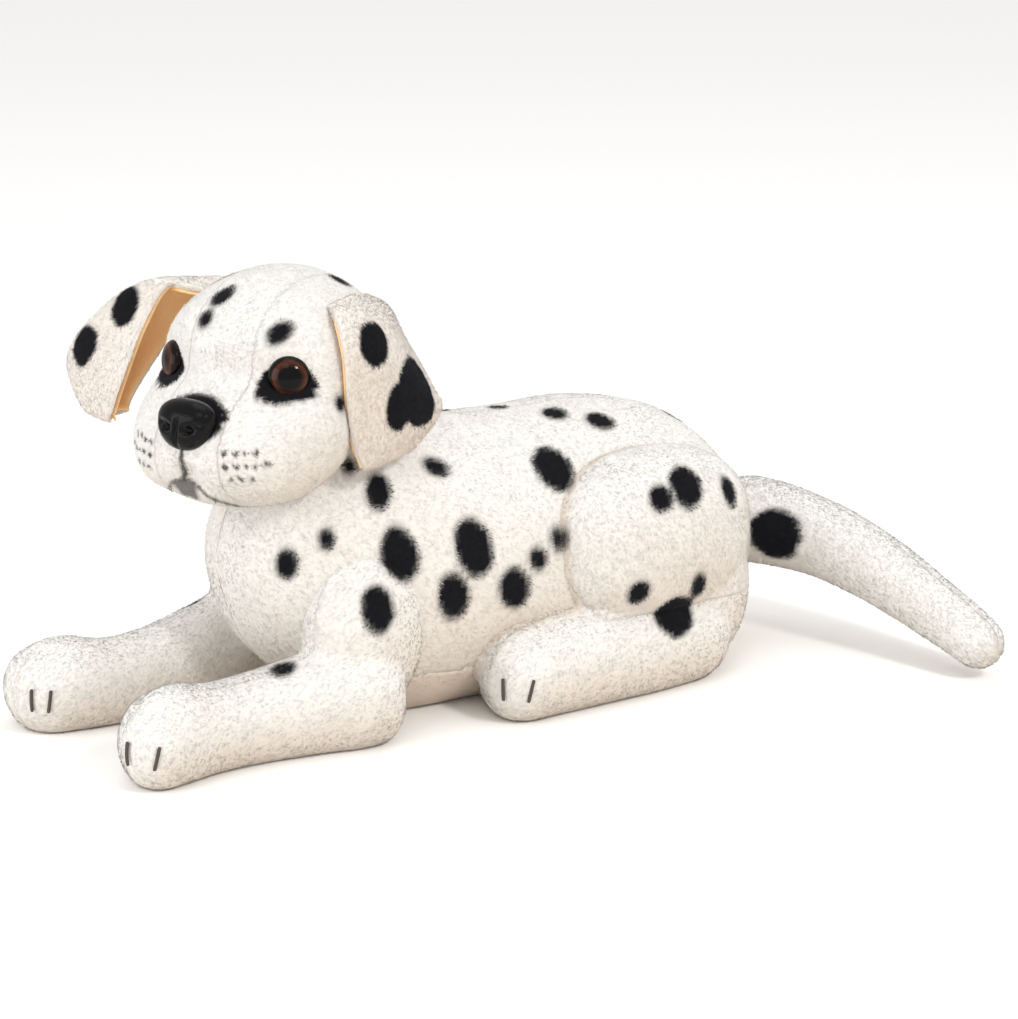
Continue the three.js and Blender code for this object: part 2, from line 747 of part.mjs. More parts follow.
sides.forEach(({ side, sign }, n) => {
  const outer = (y) => (sign < 0 ? leftOf(-y) : rightOf(y));
  const inner = (y) => (sign < 0 ? rightOf(-y) : leftOf(y));
  const front = frontLegs[n];
  const middle = (frontPawApart + frontLegApart) / 4;
  addNode(`front_leg_${side}_outer`, front.fabric.intersect(outer(middle + seam / 2)), pile);
  addNode(`front_leg_${side}_inner`, front.fabric.intersect(inner(middle - seam / 2)), pile);
  addNode(`front_leg_${side}_stuffing`, front.stuffing, wadding);

  const foot = hindFeet[n];
  const footRoom = layer(surface(foot.at, 11, 12), -seam);
  const halfApart = hindFootApart / 2;
  addNode(`thigh_${side}`, thighs[n].fabric.subtract(footRoom), pile);
  addNode(`thigh_${side}_stuffing`, thighs[n].stuffing.subtract(footRoom), wadding);
  addNode(`hind_foot_${side}_outer`, foot.fabric.intersect(outer(halfApart + seam / 2)), pile);
  addNode(`hind_foot_${side}_inner`, foot.fabric.intersect(inner(halfApart - seam / 2)), pile);
  addNode(`hind_foot_${side}_stuffing`, foot.stuffing, wadding);

  for (const [limb, at] of [["front", front.at], ["hind", foot.at]]) {
    [toeSpread, -toeSpread].forEach((lean, number) => {
      const angle = Math.PI / 2 + pawTwist[limb][side] + lean;
      addNode(`toe_stitch_${limb}_${side}_${number + 1}`, toeStitch(at, angle), thread);
    });
  }
});

const tailFabric = tail.fabric.subtract(tailBallRoom);
addNode("tail_side_left", tailFabric.intersect(tailLeft(seam / 2)), pile);
addNode("tail_side_right", tailFabric.subtract(tailLeft(-seam / 2)), pile);
addNode("tail_stuffing", tail.stuffing.subtract(tailBallRoom), wadding);

// The origin is the middle of the base of the whole dog's box.
const whole = new THREE.Box3().setFromObject(dog);
const middle = whole.getCenter(new THREE.Vector3());
dog.position.set(-middle.x, -middle.y, -whole.min.z);
dog.updateMatrixWorld(true);

export default dog;
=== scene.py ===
import bpy
import numpy as np
from mathutils import Matrix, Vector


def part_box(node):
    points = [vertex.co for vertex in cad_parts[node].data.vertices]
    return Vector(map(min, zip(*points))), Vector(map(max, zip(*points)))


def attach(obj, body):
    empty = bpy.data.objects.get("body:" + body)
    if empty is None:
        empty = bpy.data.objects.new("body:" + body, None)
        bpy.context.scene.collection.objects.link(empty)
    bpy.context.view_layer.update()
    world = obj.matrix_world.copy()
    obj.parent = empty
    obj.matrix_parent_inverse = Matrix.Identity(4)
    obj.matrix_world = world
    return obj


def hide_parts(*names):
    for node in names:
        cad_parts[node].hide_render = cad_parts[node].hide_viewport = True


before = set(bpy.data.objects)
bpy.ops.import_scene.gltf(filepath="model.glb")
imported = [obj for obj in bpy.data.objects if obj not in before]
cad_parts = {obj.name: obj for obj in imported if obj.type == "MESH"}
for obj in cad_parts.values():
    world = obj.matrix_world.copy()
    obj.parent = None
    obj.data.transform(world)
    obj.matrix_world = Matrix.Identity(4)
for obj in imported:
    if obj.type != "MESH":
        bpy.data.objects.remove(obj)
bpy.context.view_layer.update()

# A plush dog lying down. Shapes are worked out in the dog's own millimetres: -X the way it faces,
# -Y its left side, +Z up, measured from the pivot in its neck, and then placed in the frame in metres.

MM = 0.001
NECK = np.array([94.0, -4.0, 99.0])  # the neck's pivot in the dog's own millimetres
neck_low, neck_high = (np.array(corner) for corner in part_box("neck_stuffing"))
SHIFT = (neck_low + neck_high) / 2 - NECK * MM

FABRIC = 1.6  # thickness of the pile fabric's backing
PILE = 1.6  # length of the pile
BLADE = 0.5  # width of a tuft at its root
FINE = dict(length=1.4, width=0.42)  # the same two on the head and the ears
LIE = np.radians(68)  # how far the pile leans from upright
ROOT_DEPTH = 0.3  # how far below the skin a tuft starts
FLOOR_GAP = 0.4  # how far above the floor a skin stays
TIP_GAP = 0.15  # and the tips of its pile
WADDING_GAP = 2.4  # how far the wadding lies inside its skin, and above the floor


def placed(points):
    """Points in the dog's own millimetres as metres in the frame."""
    return np.asarray(points, float) * MM + SHIFT


# ---- Arrays ----------------------------------------------------------------------------------------------


def unit(vectors):
    length = np.linalg.norm(vectors, axis=-1, keepdims=True)
    return vectors / np.maximum(length, 1e-9)


def ramp(value, low, high):
    """0 below low, 1 above high, and a smooth step between them."""
    t = np.clip((value - low) / (high - low), 0, 1)
    return t * t * (3 - 2 * t)


def between(rows, station):
    """Smooth values between rows of numbers: a cubic whose slope at each row is that of its neighbours."""
    rows = np.asarray(rows, float)
    x, y = rows[:, 0], rows[:, 1:]
    ahead, behind = np.minimum(np.arange(len(x)) + 1, len(x) - 1), np.maximum(np.arange(len(x)) - 1, 0)
    slope = (y[ahead] - y[behind]) / (x[ahead] - x[behind])[:, None]
    i = np.clip(np.searchsorted(x, station, side="right") - 1, 0, len(x) - 2)
    span = (x[i + 1] - x[i])[..., None]
    t = ((station - x[i]) / (x[i + 1] - x[i]))[..., None]
    rise, a, b = y[i + 1] - y[i], slope[i] * span, slope[i + 1] * span
    return y[i] + t * (a + t * (3 * rise - 2 * a - b + t * (a + b - 2 * rise)))


LATTICE = np.random.default_rng(11).uniform(-1, 1, (32, 32, 32, 3))


def waves(points, size):
    """Three smooth random numbers at each point, from -1 to 1, that change over about size mm: values on a
    lattice, blended along each axis."""
    cell = np.asarray(points, float) / size + 97.3
    base = np.floor(cell).astype(int)
    part = ramp(cell - base, 0, 1)
    total = 0
    for corner in np.ndindex(2, 2, 2):
        weight = np.prod(np.where(corner, part, 1 - part), axis=-1)[..., None]
        total = total + weight * LATTICE[tuple(np.moveaxis((base + corner) % 32, -1, 0))]
    return total


def closed_surface(at, rows, sides, even=False):
    """Vertices and triangles of a closed skin: rings of at(t, a), with a once round and t evenly spread or
    crowding towards the two poles at 0 and 1."""
    share = np.arange(1, rows) / rows
    t = share if even else (1 - np.cos(np.pi * share)) / 2
    a = 2 * np.pi * np.arange(sides) / sides
    rings = at(*np.meshgrid(t, a, indexing="ij")).reshape(-1, 3)
    poles = [at(np.array([end]), np.zeros(1)).reshape(1, 3) for end in (0.0, 1.0)]
    points = np.concatenate([poles[0], rings, poles[1]])
    here = np.arange(sides)
    near = 1 + np.arange(rows - 2)[:, None] * sides
    a0, a1 = near + here, near + (here + 1) % sides
    quads = [np.stack([a0, a1, a0 + sides], -1), np.stack([a1, a1 + sides, a0 + sides], -1)]
    last = len(points) - 1
    caps = [
        np.stack([np.zeros(sides, int), 1 + (here + 1) % sides, 1 + here], -1),
        np.stack([np.full(sides, last), last - sides + here, last - sides + (here + 1) % sides], -1),
    ]
    return outward(points, np.concatenate([*(q.reshape(-1, 3) for q in quads), *caps]))


def outward(points, triangles):
    """The same skin with its triangles turned to face out, by the sign of its volume."""
    a, b, c = (points[triangles[:, n]] for n in range(3))
    volume = np.einsum("ij,ij->", a, np.cross(b, c))
    return points, triangles if volume > 0 else triangles[:, ::-1]


def normals_of(points, triangles):
    a, b, c = (points[triangles[:, n]] for n in range(3))
    face = np.cross(b - a, c - a)
    total = np.zeros_like(points)
    for n in range(3):
        np.add.at(total, triangles[:, n], face)
    return unit(total)


# ---- Objects ---------------------------------------------------------------------------------------------


def make_mesh(name, points, triangles):
    """A mesh of triangles, its points given in the dog's own millimetres."""
    mesh = bpy.data.meshes.new(name)
    mesh.vertices.add(len(points))
    mesh.vertices.foreach_set("co", placed(points).astype(np.float32).ravel())
    mesh.loops.add(3 * len(triangles))
    mesh.loops.foreach_set("vertex_index", triangles.astype(np.int32).ravel())
    mesh.polygons.add(len(triangles))
    mesh.polygons.foreach_set("loop_start", np.arange(0, 3 * len(triangles), 3, dtype=np.int32))
    mesh.update(calc_edges=True)
    mesh.polygons.foreach_set("use_smooth", np.ones(len(triangles), bool))
    mesh.validate()
    return mesh


def new_object(name, data):
    made = bpy.data.objects.new(name, data)
    bpy.context.scene.collection.objects.link(made)
    return made


def make_object(name, points, triangles, material, body, nodes=()):
    """A piece that rides on a body, takes a material slot's finish, and stands for CAD nodes."""
    piece = new_object(name, make_mesh(name, points, triangles))
    piece.data.materials.append(material)
    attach(piece, body)
    if nodes:
        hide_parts(*nodes)
    return piece


def add_attribute(piece, name, values):
    layer = piece.data.attributes.new(name, "FLOAT", "POINT")
    layer.data.foreach_set("value", np.asarray(values, np.float32).ravel())


def add_map(piece, uv):
    """The piece's own map, from one place for each vertex: along and round. A triangle that crosses the line
    where the angle starts again is laid past the end of the map, so that it stays small."""
    corners = np.empty(len(piece.data.loops), np.int32)
    piece.data.loops.foreach_get("vertex_index", corners)
    spread = uv[corners].reshape(-1, 3, 2)
    turn = spread[..., 1]
    crosses = turn.max(axis=1) - turn.min(axis=1) > 0.5
    turn[crosses[:, None] & (turn < 0.5)] += 1
    spread[..., 1] = 0.03 + 0.88 * turn
    piece.data.uv_layers.new(name="OFBake").data.foreach_set("uv", spread.astype(np.float32).ravel())


def add_piece(name, skin, material, body, nodes=()):
    """A plain closed piece, such as stuffing or a moulded part."""
    piece = make_object(name, skin[0], skin[1], material, body, nodes)
    return piece


def melted(shells, voxel, rounds):
    """One skin round several closed shells that run into each other: remeshed in cubes of voxel mm, then
    smoothed that many rounds, which fills the creases between them softly."""
    points = np.concatenate([shell[0] for shell in shells])
    starts = np.cumsum([0] + [len(shell[0]) for shell in shells])
    triangles = np.concatenate([shell[1] + start for shell, start in zip(shells, starts)])
    lump = new_object("lump", make_mesh("lump", points, triangles))
    remesh = lump.modifiers.new("Remesh", "REMESH")
    remesh.mode = "VOXEL"
    remesh.voxel_size = voxel * MM
    smooth = lump.modifiers.new("Smooth", "SMOOTH")
    smooth.factor = 0.5
    smooth.iterations = rounds
    bpy.context.view_layer.update()
    done = lump.evaluated_get(bpy.context.evaluated_depsgraph_get())
    mesh = done.to_mesh()
    mesh.calc_loop_triangles()
    found = np.empty(3 * len(mesh.vertices), np.float32)
    mesh.vertices.foreach_get("co", found)
    corners = np.empty(3 * len(mesh.loop_triangles), np.int32)
    mesh.loop_triangles.foreach_get("vertices", corners)
    done.to_mesh_clear()
    bpy.data.objects.remove(lump)
    return outward((found.reshape(-1, 3) - SHIFT) / MM, corners.reshape(-1, 3).astype(int))


# ---- Materials -------------------------------------------------------------------------------------------


def new_material(name):
    material = bpy.data.materials.new(name)
    material.use_nodes = True
    tree = material.node_tree
    return material, tree, tree.nodes["Principled BSDF"]


def node(tree, kind, **inputs):
    made = tree.nodes.new(kind)
    for key, value in inputs.items():
        made.inputs[key].default_value = value
    return made


def attribute(tree, name):
    made = tree.nodes.new("ShaderNodeAttribute")
    made.attribute_name = name
    return made.outputs["Fac"]


def colour_mix(tree, kind, factor, first, second):
    """A mix of two colours, each of its three inputs a socket to link or a value."""
    made = tree.nodes.new("ShaderNodeMix")
    made.data_type = "RGBA"
    made.blend_type = kind
    for key, value in (("Factor", factor), ("A", first), ("B", second)):
        if isinstance(value, bpy.types.NodeSocket):
            tree.links.new(value, made.inputs[key])
        else:
            made.inputs[key].default_value = value
    return made.outputs["Result"]


def bumped(tree, shader, height, strength, distance):
    bump = node(tree, "ShaderNodeBump", Strength=strength, Distance=distance)
    tree.links.new(height, bump.inputs["Height"])
    tree.links.new(bump.outputs["Normal"], shader.inputs["Normal"])


def finish(shader, **values):
    """Set a shader's inputs, each named with _ where its own name has a space."""
    for key, value in values.items():
        shader.inputs[key.replace("_", " ")].default_value = value


def noise(tree, **inputs):
    """A noise laid out in the object's own metres."""
    place = tree.nodes.new("ShaderNodeTexCoord")
    made = node(tree, "ShaderNodeTexNoise", **inputs)
    tree.links.new(place.outputs["Object"], made.inputs["Vector"])
    return made.outputs["Fac"]


def colour_ramp(tree, stops, by):
    made = tree.nodes.new("ShaderNodeValToRGB")
    tree.links.new(by, made.inputs["Fac"])
    elements = made.color_ramp.elements
    while len(elements) < len(stops):
        elements.new(0.5)
    for element, (place, colour) in zip(elements, stops):
        element.position = place
        element.color = (*colour, 1)
    return made.outputs["Color"]


def pile_material(name, pale, warm_tone_and_shade):
    """Short pile: pale to warmer in soft patches, painted beige shade below, near the floor and in creases,
    painted shade at the roots, and ink where an airbrushed mark is."""
    material, tree, shader = new_material(name)
    link = tree.links.new
    patches = noise(tree, Scale=55.0, Detail=3.0, Roughness=0.55)
    ground = colour_ramp(tree, [(0.3, pale), (0.75, warm_tone_and_shade)], patches)
    # Painted shade: the colour is multiplied towards SHADE where the pile faces down, lies near the floor or
    # in creases.
    painted_shade_colour = colour_mix(tree, "MULTIPLY", attribute(tree, "warm_tone_and_shade"), ground, (*SHADE, 1))
    # Painted shade between the tufts: the colour darkens a little towards the roots, by the attribute tip.
    root = node(tree, "ShaderNodeMapRange")
    root.inputs["To Min"].default_value = 0.95
    link(attribute(tree, "tip"), root.inputs["Value"])
    shade = tree.nodes.new("ShaderNodeVectorMath")
    shade.operation = "SCALE"
    link(painted_shade_colour, shade.inputs[0])
    link(root.outputs["Result"], shade.inputs["Scale"])
    dyed = colour_mix(tree, "MIX", attribute(tree, "mark"), shade.outputs["Vector"], (*INK, 1))
    link(dyed, shader.inputs["Base Color"])
    bumped(tree, shader, noise(tree, Scale=900.0, Detail=2.0), 0.35, 0.0006)
    finish(shader, Roughness=0.9, Specular_IOR_Level=0.08, Sheen_Weight=0.03, Sheen_Roughness=0.5,
           Subsurface_Weight=0.15, Subsurface_Radius=(1.0, 0.85, 0.7), Subsurface_Scale=0.0012)
    return material


INK = (0.006, 0.006, 0.008)
SHADE = (0.84, 0.75, 0.66)  # the painted beige shade: what the pile's colour is multiplied by where that shade is fullest
body_pile = pile_material("white_pile", (0.78, 0.765, 0.735), (0.75, 0.72, 0.68))
head_pile = pile_material("head_pile", (0.745, 0.735, 0.71), (0.725, 0.695, 0.655))
ear_pile = pile_material("ear_pile", (0.735, 0.69, 0.64), (0.725, 0.66, 0.595))
belly_pile = pile_material("belly_pile", (0.77, 0.72, 0.665), (0.74, 0.67, 0.61))
lining_pile = pile_material("peach_lining", (0.93, 0.62, 0.33), (0.88, 0.52, 0.24))


def plain_material(name, colour, roughness, grain, depth, specular=0.5):
    """A moulded or spun finish: one colour that varies a little, with a fine bump."""
    material, tree, shader = new_material(name)
    flecks = noise(tree, Scale=grain, Detail=3.0)
    low, high = (tuple(c * k for c in colour) for k in (0.88, 1.12))
    tone = colour_ramp(tree, [(0.3, low), (0.7, high)], flecks)
    tree.links.new(tone, shader.inputs["Base Color"])
    bumped(tree, shader, flecks, 0.4, depth)
    finish(shader, Roughness=roughness, Specular_IOR_Level=specular)
    return material


wadding = plain_material("wadding", (0.86, 0.86, 0.85), 0.95, 240.0, 0.001)
nose_gloss = plain_material("nose_gloss", (0.004, 0.0035, 0.0035), 0.14, 1100.0, 0.0002, specular=0.12)
washer_white = plain_material("washer_white", (0.8, 0.8, 0.78), 0.45, 300.0, 0.0001)
thread_brown = plain_material("toe_thread", (0.06, 0.04, 0.035), 0.7, 1500.0, 0.0003)


def iris_material():
    """A polished eye: black pupil, deep brown iris that lightens outwards, and a dark rim, by the distance
    from its middle kept in the attribute ring."""
    material, tree, shader = new_material("eye_gloss")
    black = (0.002, 0.002, 0.002)
    rings = [(0.0, black), (0.5, black), (0.6, (0.03, 0.009, 0.005)), (0.76, (0.085, 0.026, 0.013)),
             (0.86, (0.005, 0.003, 0.002))]
    tone = colour_ramp(tree, rings, attribute(tree, "ring"))
    flecked = colour_mix(tree, "MULTIPLY", 0.5, tone, noise(tree, Scale=900.0, Detail=2.0))
    tree.links.new(flecked, shader.inputs["Base Color"])
    finish(shader, Roughness=0.06, Specular_IOR_Level=0.14)
    return material


eye_gloss = iris_material()

# ---- Marks -----------------------------------------------------------------------------------------------


def blots(points, rows, soft=0.5):
    """How dark the airbrush left each point, 0 to 1. A row is a centre, half a length, half a width, and the
    angle in degrees that the length leans from upright towards the tail."""
    points = np.asarray(points, float)
    dark = np.zeros(len(points))
    wobble = 0.06 * (waves(points, 4.0)[:, 0] + waves(points, 0.9)[:, 1])
    for x, y, z, long, wide, lean in rows:
        lean = np.radians(lean)
        along = np.array([np.sin(lean), 0, np.cos(lean)])
        away = points - (x, y, z)
        near = np.abs(away).max(axis=1) < 2 * long + 6
        away = away[near]
        ahead = away @ along
        aside = np.linalg.norm(away - ahead[:, None] * along, axis=1)
        reach = np.sqrt((ahead / long) ** 2 + (aside / wide) ** 2) / 1.17 + wobble[near]
        dark[near] = np.maximum(dark[near], 1 - ramp(reach, 1 - soft / wide, 1 + soft / wide))
    return dark


def spotted(rows):
    """The marks of a piece that has spots only."""
    return lambda points, soft: blots(points, rows, soft)


# ---- Pile ------------------------------------------------------------------------------------------------


def tufts(points, triangles, normals, count, nap, seed, length=PILE, width=BLADE):
    """Small closed spikes of pile: roots spread evenly over the skin, each leaning from the skin's normal
    towards the nap, with a little chance in its length and direction. Returns points, triangles, the skin's
    normal and root for each point, and how near each is to a tip."""
    chance = np.random.default_rng(seed)
    a, b, c = (points[triangles[:, n]] for n in range(3))
    area = np.linalg.norm(np.cross(b - a, c - a), axis=1)
    pick = np.searchsorted(np.cumsum(area) / area.sum(), chance.random(count)).clip(0, len(area) - 1)
    u, v = chance.random((2, count, 1))
    u, v = np.where(u + v > 1, 1 - u, u), np.where(u + v > 1, 1 - v, v)
    weights = np.concatenate([1 - u - v, u, v], axis=1)
    corners = triangles[pick]
    root = np.einsum("ij,ijk->ik", weights, points[corners])
    normal = unit(np.einsum("ij,ijk->ik", weights, normals[corners]))
    stray = chance.normal(0, 1, (count, 3))
    tall = length * chance.uniform(0.7, 1.25, (count, 1))
    flat = nap(root) + 0.45 * waves(root, 9.0)
    flat = unit(flat - normal * np.einsum("ij,ij->i", flat, normal)[:, None])
    heading = unit(normal * np.cos(LIE) + flat * np.sin(LIE) + 0.13 * stray)
    side = unit(np.cross(heading, normal))
    below = np.cross(heading, side)
    root = root - ROOT_DEPTH * normal
    corners = [side * width / 2, -side * width / 2, below * width * 0.5, heading * tall]
    spike = np.stack([root + corner for corner in corners], axis=1)
    spike[:, 3, 2] = np.maximum(spike[:, 3, 2], TIP_GAP)
    faces = np.array([[0, 1, 2], [0, 3, 1], [1, 3, 2], [2, 3, 0]])
    first = spike[0]
    if np.dot(np.cross(first[1] - first[0], first[2] - first[0]), first[3] - first[0]) > 0:
        faces = faces[:, ::-1]
    index = (4 * np.arange(count))[:, None, None] + faces
    tip = np.tile([0.15, 0.15, 0.15, 1.0], count)
    leaning = np.repeat(unit(normal + 0.09 * stray), 4, axis=0)
    return spike.reshape(-1, 3), index.reshape(-1, 3), leaning, np.repeat(root, 4, axis=0), tip


def panel(points, triangles, normals, chosen):
    """One panel cut from a skin: the chosen triangles, the same ones moved in by FABRIC and turned over,
    and a rim between the two along the cut edge. Returns points and triangles."""
    part = triangles[chosen]
    used, part = np.unique(part, return_inverse=True)
    part = part.reshape(-1, 3)
    outer = points[used]
    inner = outer - FABRIC * normals[used]
    edges = np.concatenate([part[:, [0, 1]], part[:, [1, 2]], part[:, [2, 0]]])
    key = np.sort(edges, axis=1)
    _, place, times = np.unique(key, axis=0, return_index=True, return_counts=True)
    rim = edges[place[times == 1]]
    under = rim + len(used)
    walls = [
        np.stack([rim[:, 1], rim[:, 0], under[:, 0]], -1),
        np.stack([rim[:, 1], under[:, 0], under[:, 1]], -1),
    ]
    return np.concatenate([outer, inner]), np.concatenate([part, part[:, ::-1] + len(used), *walls])


def furred(name, backing, cover, hair, look):
    """A closed backing with its tufts, dyed and finished. The tufts take the light as the skin under them
    does, so that they read as one soft surface."""
    blades, faces, leaning, roots, tip = hair
    rooted = np.concatenate([backing, roots])
    piece = make_object(
        name,
        np.concatenate([backing, blades]),
        np.concatenate([cover, faces + len(backing)]),
        look["material"],
        look["body"],
        look["nodes"],
    )
    dyed = [look["marks"](backing, 1.2), look["marks"](roots, 0.5)]
    add_attribute(piece, "mark", np.concatenate(dyed))
    # The backing takes part of the painted shade at the roots.
    add_attribute(piece, "tip", np.concatenate([np.full(len(backing), 0.6), tip]))
    facing = np.concatenate([normals_of(backing, cover), leaning])
    # Painted shade: the attribute set here darkens the pile towards SHADE in the material.
    crease_shade = look["crease_shade"](rooted) if "crease_shade" in look else 0.0
    add_attribute(piece, "warm_tone_and_shade", painted_warm_shade(rooted, facing, crease_shade))
    if "flat" in look:
        step = 0.0007 * np.tile([[-1, -1], [1, -1], [0, 1], [0, 0]], (len(blades) // 4, 1))
        add_map(piece, look["flat"](rooted) + np.concatenate([np.zeros((len(backing), 2)), step]))
    piece.data.normals_split_custom_set_from_vertices(facing.tolist())


def pile_piece(name, skin, chosen, coat, look):
    """A panel of pile fabric: its backing cut from a skin, with the tufts that grow on it."""
    points, triangles, normals = skin
    backing, cover = panel(points, triangles, normals, chosen)
    furred(name, backing, cover, tufts(points, triangles[chosen], normals, **coat), look)


def painted_warm_shade(points, facing, crease_shade):
    """How much painted beige shade the pile takes: where it faces down, near the floor, and in creases."""
    low = 0.7 * (1 - ramp(points[:, 2], 2, 16))
    # Painted shade on faces turned down, less of it on faces turned forward, where the lamps are.
    under = (1 - ramp(facing[:, 2], -0.7, 0.9)) * (1 - 0.7 * np.clip(-facing[:, 0], 0, 1))
    return np.maximum(under, np.maximum(low, crease_shade))


def with_normals(skin):
    return (*skin, normals_of(*skin))


def steady(direction):
    """A nap that lies one way all over."""
    return lambda points: np.broadcast_to(np.array(direction, float), points.shape)


def round_axis(low, high, origin, axis):
    """A flat map round an axis through origin: along it from low to high, and the angle round it."""
    axis = unit(np.array(axis, float))
    up = unit(np.array([0, 0, 1.0]) - axis * axis[2])
    across = np.cross(axis, up)

    def flat(points):
        away = points - np.array(origin, float)
        angle = np.arctan2(away @ across, away @ up) / (2 * np.pi) + 0.5
        along = (away @ axis - low) / (high - low)
        return np.stack([0.02 + 0.96 * np.clip(along, 0, 1), angle], axis=-1)

    return flat


# ---- Body ------------------------------------------------------------------------------------------------

BODY_ROWS = [
    # along, top, bottom, half width
    [57, 61, 61, 0],
    [61, 75, 45, 13],
    [67, 85, 32, 23],
    [78, 102, 20, 33],
    [92, 113, 6, 39],
    [106, 115, -2, 42],
    [124, 108, -5, 45],
    [146, 101, -5, 46],
    [176, 98.5, -5, 46.5],
    [208, 99, -5, 47],
    [241, 92, -5, 44],
    [263, 76, 4, 33],
    [276, 60, 24, 18],
    [281, 42, 42, 0],
]
BODY_FRONT, BODY_BACK = BODY_ROWS[0][0], BODY_ROWS[-1][0]
BELLY_SEAM = 18.0
PLUMP, PATCH = 0.7, 26  # how far uneven stuffing pushes the body in and out, and over how wide a patch


def body_at(t, a):
    """Rings across the body's length, each an oval between its top and bottom, flat where it lies."""
    x = BODY_FRONT + (BODY_BACK - BODY_FRONT) * t
    top, bottom, wide = np.moveaxis(between(BODY_ROWS, x), -1, 0)
    z = (top + bottom) / 2 + (top - bottom) / 2 * np.sin(a)
    return np.stack([x, wide * np.cos(a), z], axis=-1)


def plumped(skin, amount, size):
    """A skin pushed in and out a little over patches of that size, as uneven stuffing does."""
    points, triangles = skin
    points = points + normals_of(points, triangles) * amount * waves(points, size)[:, :1]
    points[:, 2] = np.maximum(points[:, 2], FLOOR_GAP)
    return points, triangles


body_skin = with_normals(plumped(closed_surface(body_at, 170, 150), PLUMP, PATCH))

BODY_SPOTS = [
    # middle, half length, half width, and how far the length leans from upright towards the tail
    [102, -35, 87, 6.4, 4.3, 8],
    [128, -31, 91, 5.0, 3.4, 112],
    [106, -43, 66, 9.2, 6.4, -12],
    [93, -50, 51, 8.2, 5.6, 0],
    [135, -44, 64, 9.4, 6.6, -12],
    [126, -45, 48, 7.8, 5.4, -8],
    [151, -46, 47, 7, 5.6, -20],
    [161, -46, 56, 4.1, 3.5, -18],
    [176, -33, 84, 9.3, 7, -10],
    [191, -12, 98, 4.7, 4.0, -60],
    [206, -20, 95, 5.4, 4.4, -76],
    [71, -26, 64, 4.9, 3.6, 6],
    [82, -34, 73, 3.5, 2.6, 0],
    [170, -46, 63, 5.5, 3, 0],
    [94, -29, 96, 3.2, 2.5, 0],
    [152, 8, 100, 5, 4, 80],
    [224, 12, 93, 6, 5, 70],
    [176, 2, 101, 4, 3.5, 60],
    [246, -6, 86, 5, 4, 50],
    [98, 40, 84, 6, 5, 10],
    [118, 44, 62, 8, 6, -8],
    [96, 50, 48, 6, 5, 12],
    [142, 43, 76, 9, 6.5, -14],
    [150, 46, 48, 6.5, 5, -10],
    [168, 37, 87, 6, 5, 30],
    [178, 46, 58, 7, 5, -20],
    [128, 30, 95, 4.5, 4, 90],
    [71, 27, 70, 4.5, 3.5, 5],
]


def middle_of(skin):
    return skin[0][skin[1]].mean(axis=1)


def over_body(points):
    """Roughly how far points are outside the body's skin: by the oval at the same place along it."""
    x = points[:, 0]
    top, bottom, wide = np.moveaxis(between(BODY_ROWS, np.clip(x, BODY_FRONT + 0.5, BODY_BACK - 0.5)), -1, 0)
    half = (top - bottom) / 2
    reach = np.hypot(points[:, 1] / wide, (points[:, 2] - (top + bottom) / 2) / half)
    past = np.maximum(BODY_FRONT - x, 0) + np.maximum(x - BODY_BACK, 0)
    return (reach - 1) * np.minimum(wide, half) + past - PLUMP * waves(points, PATCH)[:, 0]


body_middle = middle_of(body_skin)
low_part = body_middle[:, 2] < BELLY_SEAM
body_coat = dict(nap=steady((1, 0, -0.5)), count=36000, seed=21)
body_look = dict(body="body", marks=spotted(BODY_SPOTS), flat=round_axis(0, 290, (0, 0, 48), (1, 0, 0)))
for side, chosen in (("left", body_middle[:, 1] < 0), ("right", body_middle[:, 1] >= 0)):
    pile_piece(f"body_{side}_pile", body_skin, chosen & ~low_part, body_coat,
               dict(body_look, material=body_pile, slot="body_pile", nodes=[f"body_side_{side}"]))
pile_piece("belly_pile", body_skin, low_part, dict(body_coat, count=12000, seed=22),
           dict(body_look, material=belly_pile, slot="belly_pile", nodes=["belly_panel"]))

# ---- Head ------------------------------------------------------------------------------------------------

HEAD = np.array([83.0, -4.0, 128.0])
TURN = np.radians(24)
FORWARD = np.array([-np.cos(TURN), -np.sin(TURN), 0])
LEFT = np.array([np.sin(TURN), -np.cos(TURN), 0])
UP = np.array([0, 0, 1.0])
HEAD_AXES = np.stack([FORWARD, LEFT, UP])


def on_head(places):
    """Places given forward, left and up from the head's centre, in the dog's millimetres."""
    return HEAD + np.asarray(places, float) @ HEAD_AXES


def from_head(points):
    return (np.asarray(points, float) - HEAD) @ HEAD_AXES.T


GUSSET = 13  # half the width of the strip over the crown and under the chin
HEAD_SIDE = 37.5  # half the head's width
HEART = np.array([8.0, 0, -6.0])  # the middle of the face, which its skin is measured from
LUMPS = [
    # centre from there and half axes: forward, left, up
    ([-8, 0, 8], [38, 37.5, 32]),
    ([14, 0, -10], [31, 22, 22]),
    ([12, 14, -11], [27, 23, 20]),
    ([12, -14, -11], [27, 23, 20]),
]
DENTS = [
    # place from the head's centre, how wide, how far out: sockets, brows, stop, pads, lip, chin
    ([forward, sign * aside, up], wide, out)
    for forward, aside, up, wide, out in [
        [33, 24, 4, 8, -2.6],
        [24, 33, 7, 11, 2.2],
        [31, 21, 17, 8, 1.4],
        [40, 0, 6, 9, -3.2],
        [46, 12, -22, 9, 3.2],
        [36, 23, -31, 12, 5.0],
        [52, 0, -26, 3.0, -2.2],
        [50, 0, -31, 3.4, -2.6],
        [46, 9, -36, 3.6, -1.6],
        [40, 17, -38, 4, -1.2],
        [38, 0, -42, 10, 3.5],
    ]
    for sign in ((1, -1) if aside else (1,))
]


